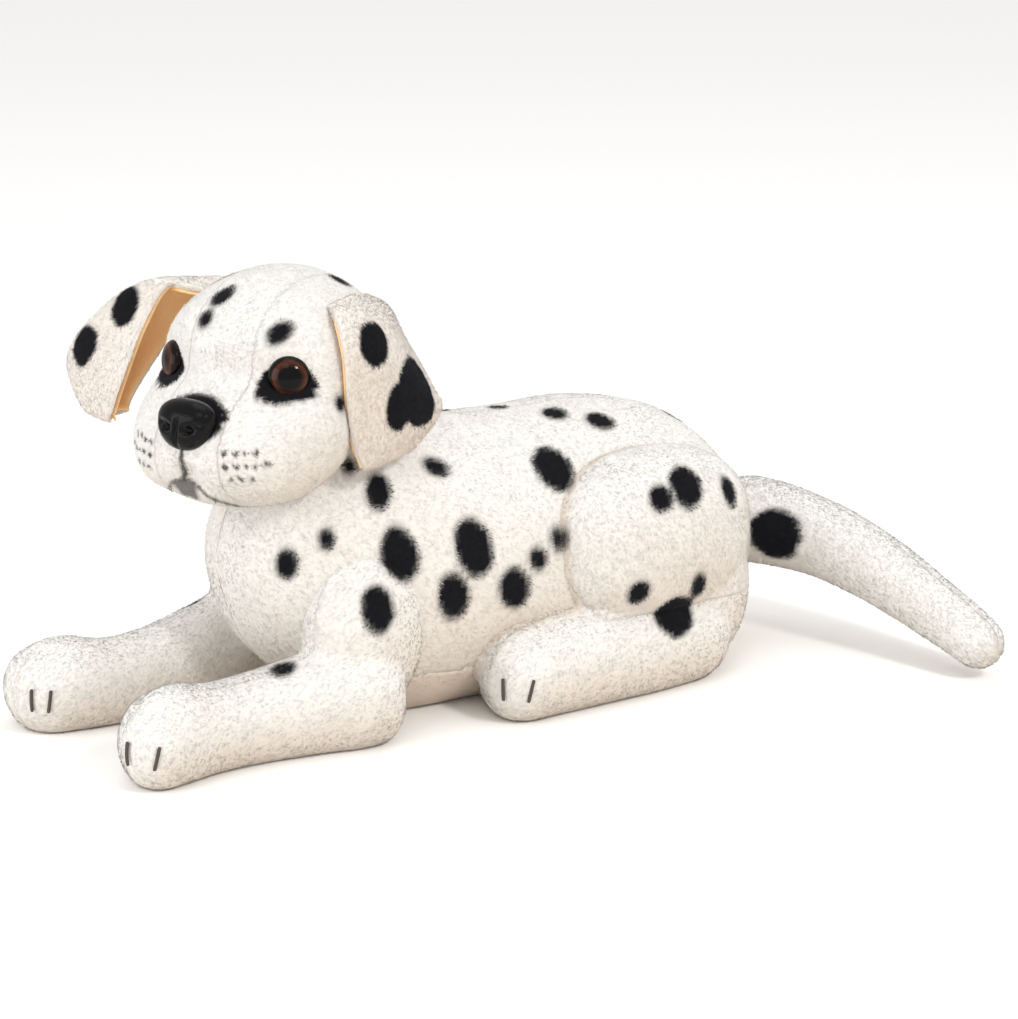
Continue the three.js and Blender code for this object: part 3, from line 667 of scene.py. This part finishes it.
def head_reach(direction):
    """Distance from the middle of the face to the skin: that to each lump's far side, blended so that the
    longest leads, and then pushed in or out round each dent."""
    total = 0
    for centre, half in LUMPS:
        d, c = direction / half, np.array(centre) / half
        dd, dc, cc = (d * d).sum(-1), (d * c).sum(-1), (c * c).sum()
        total = total + ((dc + np.sqrt(dc * dc - dd * (cc - 1))) / dd) ** 9
    reach = total ** (1 / 9)
    place = HEART + direction * reach[..., None]
    for centre, wide, out in DENTS:
        reach = reach + out * np.exp(-((place - centre) ** 2).sum(-1) / (2 * wide * wide))
    return reach


def on_face(toward):
    """The place on the skin in a direction from the middle of the face, and the skin's normal there."""
    toward = unit(np.array(toward, float))
    spots = [toward, unit(toward + [0, 0.02, 0]), unit(toward + [0, 0, 0.02])]
    a, b, c = (on_head(HEART + spot * head_reach(spot)) for spot in spots)
    normal = unit(np.cross(b - a, c - a))
    return a, normal * np.sign(normal @ (a - HEAD))


def head_at(t, a):
    """Rings round the line from nose to nape."""
    lean = np.pi * t
    direction = np.stack([np.cos(lean), np.sin(lean) * np.cos(a), np.sin(lean) * np.sin(a)], axis=-1)
    return on_head(HEART + direction * head_reach(direction)[..., None])


head_skin = with_normals(plumped(closed_surface(head_at, 150, 150), 0.35, 20))
head_middle = from_head(middle_of(head_skin))
HEAD_SPOTS = [
    [59, -7, 155, 4.6, 3.5, 53],
    [52, -8, 148, 3.3, 2.6, 24],
    [66, -33, 146, 4.7, 3.1, 62],
    [82, -44, 122, 2.7, 2.4, 0],
    [94, -29, 96, 3.2, 2.5, 0],
    [54, 25, 131, 3.2, 2.2, 0],
    [42, 17, 113, 2.6, 1.7, 0],
    [114, -1, 143, 6, 5, 20],
    [92, 31, 133, 5, 4, 0],
    [70, 12, 158, 4.5, 3.5, 70],
    [100, -14, 156, 4, 3.5, 80],
]
NOSE_PLACE, _ = on_face((43, 0, -4))
WHISKERS = [
    # to the side and up from the head's centre, on both pads
    (15, -18), (18.5, -18), (21.5, -17.5), (24.5, -17.5),
    (15.5, -22.5), (19, -22), (22, -22), (25, -22), (27.5, -21.5),
    (17, -27), (20, -26.5), (23, -26.5),
]


def face_marks(local):
    """The airbrushed face, from places forward, left and up of the head's centre: a dark almond round each
    eye, a ragged shade round the nose, the lip's line and the roots of the whiskers."""
    f, l, u = np.moveaxis(local, -1, 0)
    side = np.abs(l)
    rough = 0.10 * waves(local, 1.8)[:, 0] + 0.07 * waves(local, 0.9)[:, 1]
    along = -0.66 * (f - 31) + 0.74 * (side - 26)
    rise = u - 4.0 + 0.026 * along**2
    near_eye = (f > 12) & (side > 8)
    almond = np.hypot((along + 0.8) / 10.4, (rise + 1.3) / 6.3) + rough
    dark = near_eye * (1 - ramp(almond, 0.93, 1.1))
    front = f > 36
    away = local - from_head(NOSE_PLACE)
    halo = np.hypot(l / 12.2, (away @ [-0.27, 0, 0.96] - 2.2) / 8.4) + rough
    dark = np.maximum(dark, ramp(away @ [0.96, 0, 0.27], -8, -5) * (1 - ramp(halo, 0.95, 1.12)))
    side = np.abs(l - 0.27 * np.minimum(u + 17, 0))
    lip = np.where(side < 9, -30 - 0.075 * side**2, -36.1 - 0.42 * (side - 9))
    line = 1 - ramp(np.abs(u - lip) + 5 * rough, 0.4, 1.5)
    dark = np.maximum(dark, 0.85 * line * front * (1 - ramp(side, 15, 21)))
    under = (side < 5.5) & (u < lip) & (u > -37.5)
    dark = np.maximum(dark, 0.78 * under * front * (1 - ramp(side, 3, 5.5)))
    groove = (1 - ramp(side + 4 * rough, 0.3, 1.3)) * ramp(u, -31, -30) * (1 - ramp(u, -17, -15))
    dark = np.maximum(dark, 0.9 * groove * front)
    for aside, up in WHISKERS:
        away = np.hypot(np.abs(l) - aside, u - up)
        dark = np.maximum(dark, 0.95 * (f > 26) * (1 - ramp(away + 1.5 * rough, 0.65, 1.2)))
    return dark


def head_marks(points, soft):
    return np.maximum(blots(points, HEAD_SPOTS, soft), face_marks(from_head(points)))


strip = np.abs(head_middle[:, 1]) < GUSSET
chin = strip & (head_middle[:, 2] < -10) & (head_middle[:, 0] > 0)
head_coat = dict(nap=lambda points: -FORWARD + 0.3 * (points - HEAD) / 38, seed=31, **FINE)
head_flat = round_axis(-45, 60, HEAD, FORWARD)
for name, chosen, node_name, count in (
    ("head_left_pile", ~strip & (head_middle[:, 1] > 0), "head_side_left", 22000),
    ("head_right_pile", ~strip & (head_middle[:, 1] < 0), "head_side_right", 22000),
    ("head_gusset_pile", strip & ~chin, "head_gusset", 16000),
    ("chin_pile", chin, "chin_panel", 7000),
):
    pile_piece(name, head_skin, chosen, dict(head_coat, count=count),
               dict(material=head_pile, body="head", slot="head_pile", nodes=[node_name],
                    marks=head_marks, flat=head_flat))

# ---- Legs ------------------------------------------------------------------------------------------------

FRONT_ROWS = [
    # share of the length, top, bottom, half width, and how far out the middle is
    [0, 14, 14, 0, 38],
    [0.03, 23, 4, 10, 37.5],
    [0.1, 30, -1.5, 16, 36],
    [0.2, 32, -2, 17, 34],
    [0.34, 29, -2, 15.5, 31.5],
    [0.5, 30, -2, 15.2, 32],
    [0.7, 34, -2, 16.6, 35],
    [0.86, 37, -2, 17.6, 38],
    [0.96, 32, 2, 13, 38],
    [1, 18, 18, 0, 38],
]
FOOT_ROWS = [
    [0, 14, 14, 0, 47],
    [0.03, 24, 4, 10, 47],
    [0.1, 30, -1, 16, 47],
    [0.24, 33, -2, 17, 46],
    [0.45, 33, -2, 16.5, 46],
    [0.75, 33, -2, 15.5, 45],
    [0.93, 30, 2, 12, 44],
    [1, 17, 17, 0, 44],
]


def limb(rows, tip, length, sign):
    """A leg lying forward: ovals along its length, with two furrows between three toes at the front."""

    def at(t, a):
        top, bottom, wide, out = np.moveaxis(between(rows, t), -1, 0)
        toes = np.exp(-(((np.abs(a - np.pi / 2) - 0.42) / 0.13) ** 2)) * (1 - ramp(t, 0.12, 0.24))
        shrink = 1 - 0.09 * toes
        z = (top + bottom) / 2 + (top - bottom) / 2 * np.sin(a) * shrink
        y = sign * out + wide * np.cos(a) * shrink
        return np.stack([tip + t * length, y, z], axis=-1)

    return at


def oval(centre, half, power=1.0):
    """A closed lump: an ellipsoid, squarer from the side and flatter outside where power is under 1."""

    def at(t, a):
        lean = np.pi * t
        x, z = np.cos(lean), np.sin(lean) * np.sin(a)
        y = np.sin(lean) * np.cos(a)
        reach = (np.abs(x) ** (2 / power) + np.abs(z) ** (2 / power)) ** (power / 2)
        swell = np.where(reach > 1e-6, np.sqrt(x * x + z * z) / np.maximum(reach, 1e-6), 1)
        y = np.sign(y) * np.abs(y) ** power
        return np.array(centre) + np.stack([x * swell, y, z * swell], axis=-1) * half

    return closed_surface(at, 40, 48)


LEG_SPOTS = BODY_SPOTS + [
    [63, -36, 31, 4.2, 3.6, 60],
    [70, 42, 33, 3.8, 3, 90],
    [217, -57, 77, 8.5, 6.0, 6],
    [205, -58, 74, 4.6, 4.3, 20],
    [237, -56, 72, 6.2, 3.6, 10],
    [195, -59, 41, 4.6, 3.8, 20],
    [213, -57, 29, 6.9, 7.6, 0],
    [221, -60, 39, 6.0, 3.2, -12],
    [205, 54, 70, 8, 6, -20],
    [227, 52, 64, 5, 4, -10],
    [190, 54, 46, 5, 3.5, 20],
    [224, 56, 34, 8, 7, 30],
    [246, 44, 70, 5, 3.5, 10],
]


def leg_crease_shade(points):
    """Painted shade where a leg's skin runs down to the body's, behind the shoulder."""
    return (points[:, 0] > 125) * (1 - ramp(over_body(points), 0, 4.5))


SIDES = [("left", -1, 1), ("right", 1, -5)]  # its name, its sign along Y, and where its front paw starts
FRONT_SEAM, FOOT_SEAM = 35, 46  # how far out the seam between a limb's two halves lies
SHOULDER_END = 120  # how far back a front leg's panels reach
front_at = {side: limb(FRONT_ROWS, tip, 106, sign) for side, sign, tip in SIDES}
foot_at = {side: limb(FOOT_ROWS, 138, 108, sign) for side, sign, _ in SIDES}
front_shell = {side: closed_surface(front_at[side], 60, 64) for side, _, _ in SIDES}
foot_shell = {side: closed_surface(foot_at[side], 60, 64) for side, _, _ in SIDES}
thigh_shell = {side: oval((213, sign * 37, 55), (43, 26, 32), 0.84) for side, sign, _ in SIDES}
hock_shell = {side: oval((238, sign * 39, 33), (18, 17, 30)) for side, sign, _ in SIDES}
shoulder_shell = {side: oval((97, sign * 32, 38), (22, 18.5, 31)) for side, sign, _ in SIDES}

# The legs run into the body: one skin round them all gives each leg its flare, and a leg's panels are what
# of that skin stands clear of the body's own.
legs = [front_shell, shoulder_shell, foot_shell, hock_shell, thigh_shell]
shells = [body_skin[:2], *(shell for pair in legs for shell in pair.values())]
joined = melted(shells, 1.8, 4)
place = middle_of(joined)
joined = with_normals(joined)
sunk = joined[0] - joined[2] * (1 - ramp(over_body(joined[0]), 0.3, 3.0))[:, None]
sunk[:, 2] = np.maximum(sunk[:, 2], FLOOR_GAP)
joined = with_normals((sunk, joined[1]))
x, y, z = place.T
beside_legs = (x < SHOULDER_END) | (x > 158) | ((x > 136) & (z < 48))
clear = beside_legs & (over_body(place) > 0.4)
forward, down = (-1, 0, -0.35), (0.5, 0, -0.8)  # which way the pile lies
for side, sign, _ in SIDES:
    far_out = sign * y
    here = clear & (far_out > 0)
    front = here & (x < SHOULDER_END)
    thigh = here & ~front & (z > 31 + 40 * (1 - ramp(x, 150, 188)))
    foot = here & ~front & ~thigh
    front_map = round_axis(-10, 122, (0, sign * FRONT_SEAM, 16), (1, 0, 0))
    hind_map = round_axis(130, 268, (0, sign * 40, 30), (1, 0, 0))
    for name, body, chosen, count, lie, flat in (
        (f"front_leg_{side}_outer", "front_leg", front & (far_out > FRONT_SEAM), 11000, forward, front_map),
        (f"front_leg_{side}_inner", "front_leg", front & (far_out <= FRONT_SEAM), 11000, forward, front_map),
        (f"thigh_{side}", "hind_leg", thigh, 15000, down, hind_map),
        (f"hind_foot_{side}_outer", "hind_leg", foot & (far_out > FOOT_SEAM), 8000, forward, hind_map),
        (f"hind_foot_{side}_inner", "hind_leg", foot & (far_out <= FOOT_SEAM), 8000, forward, hind_map),
    ):
        pile_piece(f"{name}_pile", joined, chosen, dict(nap=steady(lie), count=count, seed=41),
                   dict(material=body_pile, body=f"{body}_{side}", slot="body_pile", nodes=[name],
                        marks=spotted(LEG_SPOTS), crease_shade=leg_crease_shade, flat=flat))

# ---- Tail ------------------------------------------------------------------------------------------------

TAIL = np.array([268.0, -1.0, 44.0])
TAIL_PATH = [
    # share of the length, then the place from the pivot
    [0, 0, 0, 0],
    [0.14, 14, -12, 0],
    [0.35, 28, -34, -4],
    [0.56, 37, -60, -12],
    [0.79, 43, -88, -23],
    [1, 48, -114, -34],
]


def tail_at(t, a):
    """Circles square to a curved path, narrowing to a round tip."""
    place = TAIL + between(TAIL_PATH, t)
    heading = unit(between(TAIL_PATH, t + 0.01) - between(TAIL_PATH, t - 0.01))
    across = unit(np.cross([0, 0, 1.0], heading))
    up = np.cross(heading, across)
    thick = 17.5 - 8.5 * t
    closing = np.sqrt(np.clip(1 - np.clip((t - 0.93) / 0.07, 0, 1) ** 2, 0, 1))
    closing = closing * np.sqrt(np.clip(1 - np.clip(1 - t / 0.16, 0, 1) ** 2, 0, 1))
    radius = (thick * closing)[..., None]
    return place + radius * (across * np.cos(a)[..., None] + up * np.sin(a)[..., None])


tail_skin = with_normals(plumped(closed_surface(tail_at, 90, 56), 0.4, 16))
tail_middle = middle_of(tail_skin)


def tail_split(points):
    """Which side of the tail's middle line each point is on, seen from above."""
    line = TAIL + between(TAIL_PATH, np.linspace(0, 1, 80))
    near = np.argmin(((points[:, None, :2] - line[None, :, :2]) ** 2).sum(-1), axis=1)
    heading = np.gradient(line, axis=0)[near]
    away = points[:, :2] - line[near, :2]
    return heading[:, 0] * away[:, 1] - heading[:, 1] * away[:, 0]


TAIL_SPOTS = [
    [277, -33, 43, 8.8, 9, 0],
    [315, -57, 42, 6, 5, 30],
    [319, -86, 29, 5, 4, 20],
]
on_left = tail_split(tail_middle) < 0
for side, chosen in (("left", on_left), ("right", ~on_left)):
    pile_piece(f"tail_{side}_pile", tail_skin, chosen,
               dict(nap=steady((0.3, -1, -0.3)), count=14000, seed=51),
               dict(material=body_pile, body="tail", slot="body_pile", nodes=[f"tail_side_{side}"],
                    marks=spotted(TAIL_SPOTS),
                    flat=round_axis(-20, 150, TAIL + [0, 10, 0], (0.4, -1, -0.3))))

# ---- Ears ------------------------------------------------------------------------------------------------

EAR_ROWS = {
    # share from root to tip; then the front edge, the pull of the curl and the back edge, each forward of
    # the head's centre, out from the head's side and up
    "left": [
        [0, 9, -12, 25, -5, -8, 29, -18, -16, 24],
        [0.15, 14, -4.5, 22, -4, 2.5, 26, -22, -8.5, 20],
        [0.4, 17, 1.2, 10, -4, 12, 12, -27, -5, 9],
        [0.7, 16, 1.5, -8, -6, 15, -8, -31, 5, -9],
        [0.92, 13, 2, -23, -3, 12, -23, -29, 9, -17],
        [1, 9, 3, -30, 0, 6, -31, -14, 8, -27],
    ],
    "right": [
        [0, 9, -12, 25, -3, -8, 29, -14, -15, 25],
        [0.15, 12, 0.5, 25.5, 15, 21.5, 28, -10, -1.5, 22],
        [0.4, 18, 7.5, 13, 17, 54, 16, -6, 8.5, 10],
        [0.7, 25, 12, -5, 17, 74, -3, 0, 16.5, -5],
        [0.92, 28, 15.5, -18, 22, 50, -22, 8, 20.5, -17],
        [1, 27, 17.5, -22, 22, 26.5, -25, 12, 20.5, -22],
    ],
}


def ear_at(side, u, v):
    """An ear as a sheet: u from its front edge to its back edge along a curl, v from root to tip."""
    values = between(EAR_ROWS[side], v)
    weights = np.stack([(1 - u) ** 2, 2 * u * (1 - u), u**2], axis=-1)
    mixed = (weights[..., None] * values.reshape(*u.shape, 3, 3)).sum(-2)
    sign = 1 if side == "left" else -1
    return on_head(np.stack([mixed[..., 0], sign * (HEAD_SIDE + mixed[..., 1]), mixed[..., 2]], axis=-1))


def ear_layer(side, depth, thickness):
    """A closed slab under the ear's outer face, from depth down by thickness, with rounded edges: it thins
    to nothing at the rim."""
    across, down = 60, 80
    u, v = np.meshgrid(np.linspace(0, 1, across), np.linspace(0, 1, down), indexing="xy")
    step = 0.01
    along = ear_at(side, u + step, v) - ear_at(side, u - step, v)
    below = ear_at(side, u, v + step) - ear_at(side, u, v - step)
    inward = unit(np.cross(along, below)) * (1 if side == "left" else -1)
    rim = np.minimum(np.minimum(u, 1 - u) * 30, np.minimum(v, 1 - v) * 55)
    round_off = 0.25 + 0.75 * np.sqrt(1 - (1 - np.clip(rim / 1.5, 0, 1)) ** 2)
    middle = ear_at(side, u, v) + inward * (depth + thickness / 2)
    half = inward * (thickness / 2 * round_off)[..., None]
    points = np.concatenate([(middle - half).reshape(-1, 3), (middle + half).reshape(-1, 3)])
    at = np.arange(across * down).reshape(down, across)
    quads = np.stack([at[:-1, :-1], at[:-1, 1:], at[1:, 1:], at[1:, :-1]], axis=-1).reshape(-1, 4)
    edge = np.concatenate([at[0, :-1], at[:-1, -1], at[-1, :0:-1], at[:0:-1, 0]])
    ahead = np.roll(edge, -1)
    shift = across * down
    walls = np.stack([edge, edge + shift, ahead + shift, ahead], axis=-1)
    quads = np.concatenate([quads, quads[:, ::-1] + shift, walls])
    return outward(points, np.concatenate([quads[:, [0, 1, 2]], quads[:, [0, 2, 3]]]))


EAR_SPOTS = [
    [96, -44, 141, 7, 5.8, 12],
    [116, -42, 122, 11, 10, -8],
    [105, -45, 118.5, 7.4, 5.4, 8],
    [46, 39, 145, 6.6, 5, 40],
    [40, 53, 129, 7.2, 6, 35],
    [72, 46, 128, 6, 5, 10],
]
for side in EAR_ROWS:
    points, triangles = ear_layer(side, 0, 2.2)
    outer_face = triangles.max(axis=1) < len(points) // 2
    hair = tufts(points, triangles[outer_face], normals_of(points, triangles), 14000, steady((0, 0, -1)), 61,
                 **FINE)
    furred(f"ear_{side}_pile", points, triangles, hair,
           dict(material=ear_pile, body=f"ear_{side}", slot="ear_pile", nodes=[f"ear_{side}_outer"],
                marks=lambda points, soft: blots(points, EAR_SPOTS), fill=0.3))
    under = add_piece(f"ear_{side}_under", ear_layer(side, 2.3, 1.3), lining_pile, f"ear_{side}",
                      [f"ear_{side}_lining"])
    add_attribute(under, "mark", np.zeros(len(under.data.vertices)))
    # The lining takes a little of the painted shade at the roots.
    add_attribute(under, "tip", np.full(len(under.data.vertices), 0.9))

# ---- Eyes and nose ---------------------------------------------------------------------------------------


def turned_profile(profile, centre, axis, sides=48, flatter=1.0):
    """A closed lathe: a profile of (radius, height) pairs from pole to pole, turned round an axis."""
    axis = unit(np.array(axis, float))
    across = unit(np.cross(UP, axis))
    up = np.cross(axis, across)
    profile = np.array(profile, float)

    def at(t, a):
        radius = np.interp(t, np.linspace(0, 1, len(profile)), profile[:, 0])
        height = np.interp(t, np.linspace(0, 1, len(profile)), profile[:, 1])
        ring = across * np.cos(a)[..., None] + up * (flatter * np.sin(a))[..., None]
        return centre + radius[..., None] * ring + height[..., None] * axis

    return closed_surface(at, len(profile) - 1, sides, even=True)


def dome(radius, height, sink=1.6, stem=2.4):
    """Profile of a button from the top of its dome to the end of its stem."""
    arc = [(radius * np.sin(b), height * np.cos(b)) for b in np.linspace(0, np.pi / 2, 22)]
    return arc + [(radius, -sink * 0.5), (radius - 0.4, -sink), (stem, -sink), (stem, -10), (0.01, -10)]


def washer(depth):
    """Profile of a locking washer, a flat disc with a raised rim."""
    return [(0.01, depth), (4, depth), (6.4, depth + 0.3), (7, depth), (7, depth - 1.6), (0.01, depth - 1.6)]


for side, sign in (("left", 1), ("right", -1)):
    spot, _ = on_face((22, sign * 25.5, 10.5))
    aim = unit(FORWARD * 0.76 + LEFT * 0.64 * sign + UP * 0.08)
    eye = add_piece(f"eye_{side}_dome", turned_profile(dome(7.1, 4.5), spot - 0.9 * aim, aim), eye_gloss,
                    "head", [f"eye_{side}"])
    local = np.empty(3 * len(eye.data.vertices), np.float32)
    eye.data.vertices.foreach_get("co", local)
    away = (local.reshape(-1, 3) - placed(spot)) / MM
    add_attribute(eye, "ring", np.linalg.norm(away - (away @ aim)[:, None] * aim, axis=1) / 7.25)
    add_piece(f"eye_{side}_lock", turned_profile(washer(-6), spot, aim, 32), washer_white, "head",
              [f"eye_{side}_washer"])

nose_aim = unit(FORWARD * 0.95 + UP * 0.27)
nose_up = unit(np.cross(nose_aim, np.cross(UP, nose_aim)))


def nose_at(t, a):
    """A leathery nose: a broad button, wider at its top, cleft down the middle of its front, with a comma
    shaped hollow for each nostril."""
    lean = np.pi * t
    side, rise, out = np.sin(lean) * np.cos(a), np.sin(lean) * np.sin(a), np.cos(lean)
    wide = 10.6 * (1 + 0.2 * rise)
    x, z = wide * np.sign(side) * np.abs(side) ** 0.86, 8.6 * np.sign(rise) * np.abs(rise) ** 0.9
    y = np.where(out > 0, 6.8, 4.0) * np.sign(out) * np.abs(out) ** 0.8
    front = np.clip(out, 0, 1)
    for sign in (1, -1):
        hollow = np.exp(-(((x - sign * 4.6) / 2.1) ** 2 + ((z + 1.6) / 1.5) ** 2))
        tail = np.exp(-(((x - sign * 7.2) / 1.9) ** 2 + ((z - 0.2) / 0.9) ** 2))
        y = y - front * (2.4 * hollow + 1.3 * tail)
    y = y - 1.1 * front * np.exp(-((x / 0.8) ** 2)) * ramp(-z, -3.0, 1.0)
    across = unit(np.cross(UP, nose_aim))
    return NOSE_PLACE + x[..., None] * across + z[..., None] * nose_up + (y - 0.2)[..., None] * nose_aim


add_piece("nose_button", closed_surface(nose_at, 110, 140), nose_gloss, "head", ["nose"])
add_piece("nose_lock", turned_profile(washer(-6.4), NOSE_PLACE, nose_aim, 32, 0.85), washer_white, "head",
          ["nose_washer"])

# ---- Toe stitches ----------------------------------------------------------------------------------------


def thread(path, radius):
    """A round thread along a path of places, with rounded ends."""
    path = np.asarray(path, float)

    def at(t, a):
        share = (1 - np.cos(np.pi * t)) / 2 * (len(path) - 1)
        i = np.clip(share.astype(int), 0, len(path) - 2)
        part = (share - i)[..., None]
        place, heading = path[i] * (1 - part) + path[i + 1] * part, unit(path[i + 1] - path[i])
        across = unit(np.cross(UP + 0.3, heading))
        up = np.cross(heading, across)
        thin = radius * np.sqrt(np.clip(1 - np.abs(2 * t - 1) ** 6, 0, 1))[..., None]
        return place + thin * (across * np.cos(a)[..., None] + up * np.sin(a)[..., None])

    return closed_surface(at, 24, 12, even=True)


def paw_front(at, aside, height):
    """The place on the front of a paw that lies so far aside of its middle and so high."""
    t, a = np.meshgrid(np.linspace(0.001, 0.16, 160), np.linspace(0.1, 3.04, 160), indexing="ij")
    places = at(t, a).reshape(-1, 3)
    middle = at(np.array([0.05]), np.array([np.pi / 2]))[0, 1]
    miss = (places[:, 1] - middle - aside) ** 2 + (places[:, 2] - height) ** 2
    return places[np.argsort(miss)[:12]].mean(axis=0)


# How far aside of each paw's middle its two stitches lie: the paws lie a little twisted.
STITCH_PLACES = {
    ("front", "left"): (-14.0, -3.5),
    ("front", "right"): (-16.5, -11.5),
    ("hind", "left"): (-16.0, -8.5),
    ("hind", "right"): (-5.5, 5.0),
}
heights = np.linspace(10, 18, 7)
for (kind, side), places in STITCH_PLACES.items():
    shape = (front_at if kind == "front" else foot_at)[side]
    for number, aside in enumerate(places, 1):
        spots = np.array([paw_front(shape, aside + 0.12 * (h - 14), h) for h in heights])
        bend = np.polynomial.Polynomial.fit(heights, spots[:, 0], 2)(heights)
        spots = np.stack([bend - 0.9, np.linspace(*spots[[0, -1], 1], 7), heights + 0.3], axis=1)
        name = f"toe_stitch_{kind}_{side}_{number}"
        add_piece(f"{name}_thread", thread(spots, 0.62), thread_brown, f"{kind}_leg_{side}",
                  [name])

# ---- Stuffing --------------------------------------------------------------------------------------------


def stuffing(name, skin, body, node_name, inward=WADDING_GAP):
    """Wadding: a skin drawn inwards, lumpy."""
    points, triangles = skin
    normals = normals_of(points, triangles)
    lumps = 1.0 * waves(points, 12.0)[:, :1] + 0.5 * waves(points, 5.0)[:, 1:2]
    points = points - normals * (inward + 1.5 - lumps)
    points[:, 2] = np.maximum(points[:, 2], WADDING_GAP + 0.3 * lumps[:, 0])
    add_piece(name, (points, triangles), wadding, body, [node_name])


stuffing("body_wadding", closed_surface(body_at, 70, 64), "body", "body_stuffing")
stuffing("head_wadding", closed_surface(head_at, 60, 64), "head", "head_stuffing")
stuffing("tail_wadding", closed_surface(tail_at, 50, 28), "tail", "tail_stuffing")
for side, _, _ in SIDES:
    for name, shell, body in (
        (f"front_leg_{side}", front_shell, f"front_leg_{side}"),
        (f"thigh_{side}", thigh_shell, f"hind_leg_{side}"),
        (f"hind_foot_{side}", foot_shell, f"hind_leg_{side}"),
    ):
        stuffing(f"{name}_wadding", shell[side], body, f"{name}_stuffing")
stuffing("neck_wadding", oval(NECK, (23, 23, 23)), "neck", "neck_stuffing", inward=0)
stuffing("tail_root_wadding", oval(TAIL, (12, 12, 12)), "tail_root", "tail_root_stuffing", inward=0)

# ---- Studio ----------------------------------------------------------------------------------------------


def stand(thing, right, above, back, place):
    """Put a camera or a light at a place in metres, with its own axes along three directions."""
    rows = np.stack([right, above, back, place], axis=-1)
    thing.matrix_world = Matrix([*rows.tolist(), (0, 0, 0, 1)])


def studio():
    """Camera, pale floor and soft light."""
    turn, drop, distance, reach = np.radians(34), np.radians(15.5), 1100.0, 3146.0
    ahead = np.array([np.sin(turn) * np.cos(drop), np.cos(turn) * np.cos(drop), -np.sin(drop)])
    right = np.array([np.cos(turn), -np.sin(turn), 0])
    above = np.cross(right, ahead)
    aim = np.array([150, -38, 70.0])
    eye = aim - (ahead - right * 9 / reach - above * 10.5 / reach) * distance
    camera = new_object("camera", bpy.data.cameras.new("camera"))
    stand(camera, right, above, -ahead, placed(eye))
    camera.data.sensor_width = 36
    camera.data.lens = reach * 36 / 1018
    camera.data.clip_start = 0.01
    camera.data.clip_end = 20
    bpy.context.scene.camera = camera

    floor_mesh = bpy.data.meshes.new("floor")
    floor_mesh.from_pydata([(-6, -6, 0), (6, -6, 0), (6, 6, 0), (-6, 6, 0)], [], [(0, 1, 2, 3)])
    floor = new_object("floor", floor_mesh)
    paper, _, shader = new_material("paper")
    shader.inputs["Base Color"].default_value = (0.97, 0.97, 0.965, 1)
    shader.inputs["Roughness"].default_value = 0.9
    floor.data.materials.append(paper)

    world = bpy.data.worlds.new("studio")
    world.use_nodes = True
    world.node_tree.nodes["Background"].inputs["Color"].default_value = (1.0, 0.99, 0.98, 1)
    world.node_tree.nodes["Background"].inputs["Strength"].default_value = 0.88
    bpy.context.scene.world = world
    for name, place, size, power, tone in (
        ("key", (-0.75, -0.75, 1.25), 0.6, 2.0, (1.0, 0.985, 0.96)),
        ("catch", (0.12, -1.0, 0.85), 0.2, 6.0, (1.0, 0.99, 0.97)),
        ("top", (0.1, 0.1, 1.5), 1.0, 4.0, (1.0, 0.99, 0.98)),
        ("fill", (-1.1, 0.0, 0.3), 0.8, 5.0, (0.98, 0.99, 1.0)),
    ):
        light = new_object(name, bpy.data.lights.new(name, "AREA"))
        light.data.size = size
        light.data.energy = power
        light.data.color = tone
        direction = np.array([0, 0, 0.07]) - np.array(place)
        across = unit(np.cross(direction, UP))
        stand(light, across, unit(np.cross(across, direction)), -unit(direction), place)
    bpy.context.scene.view_settings.view_transform = "Standard"


studio()
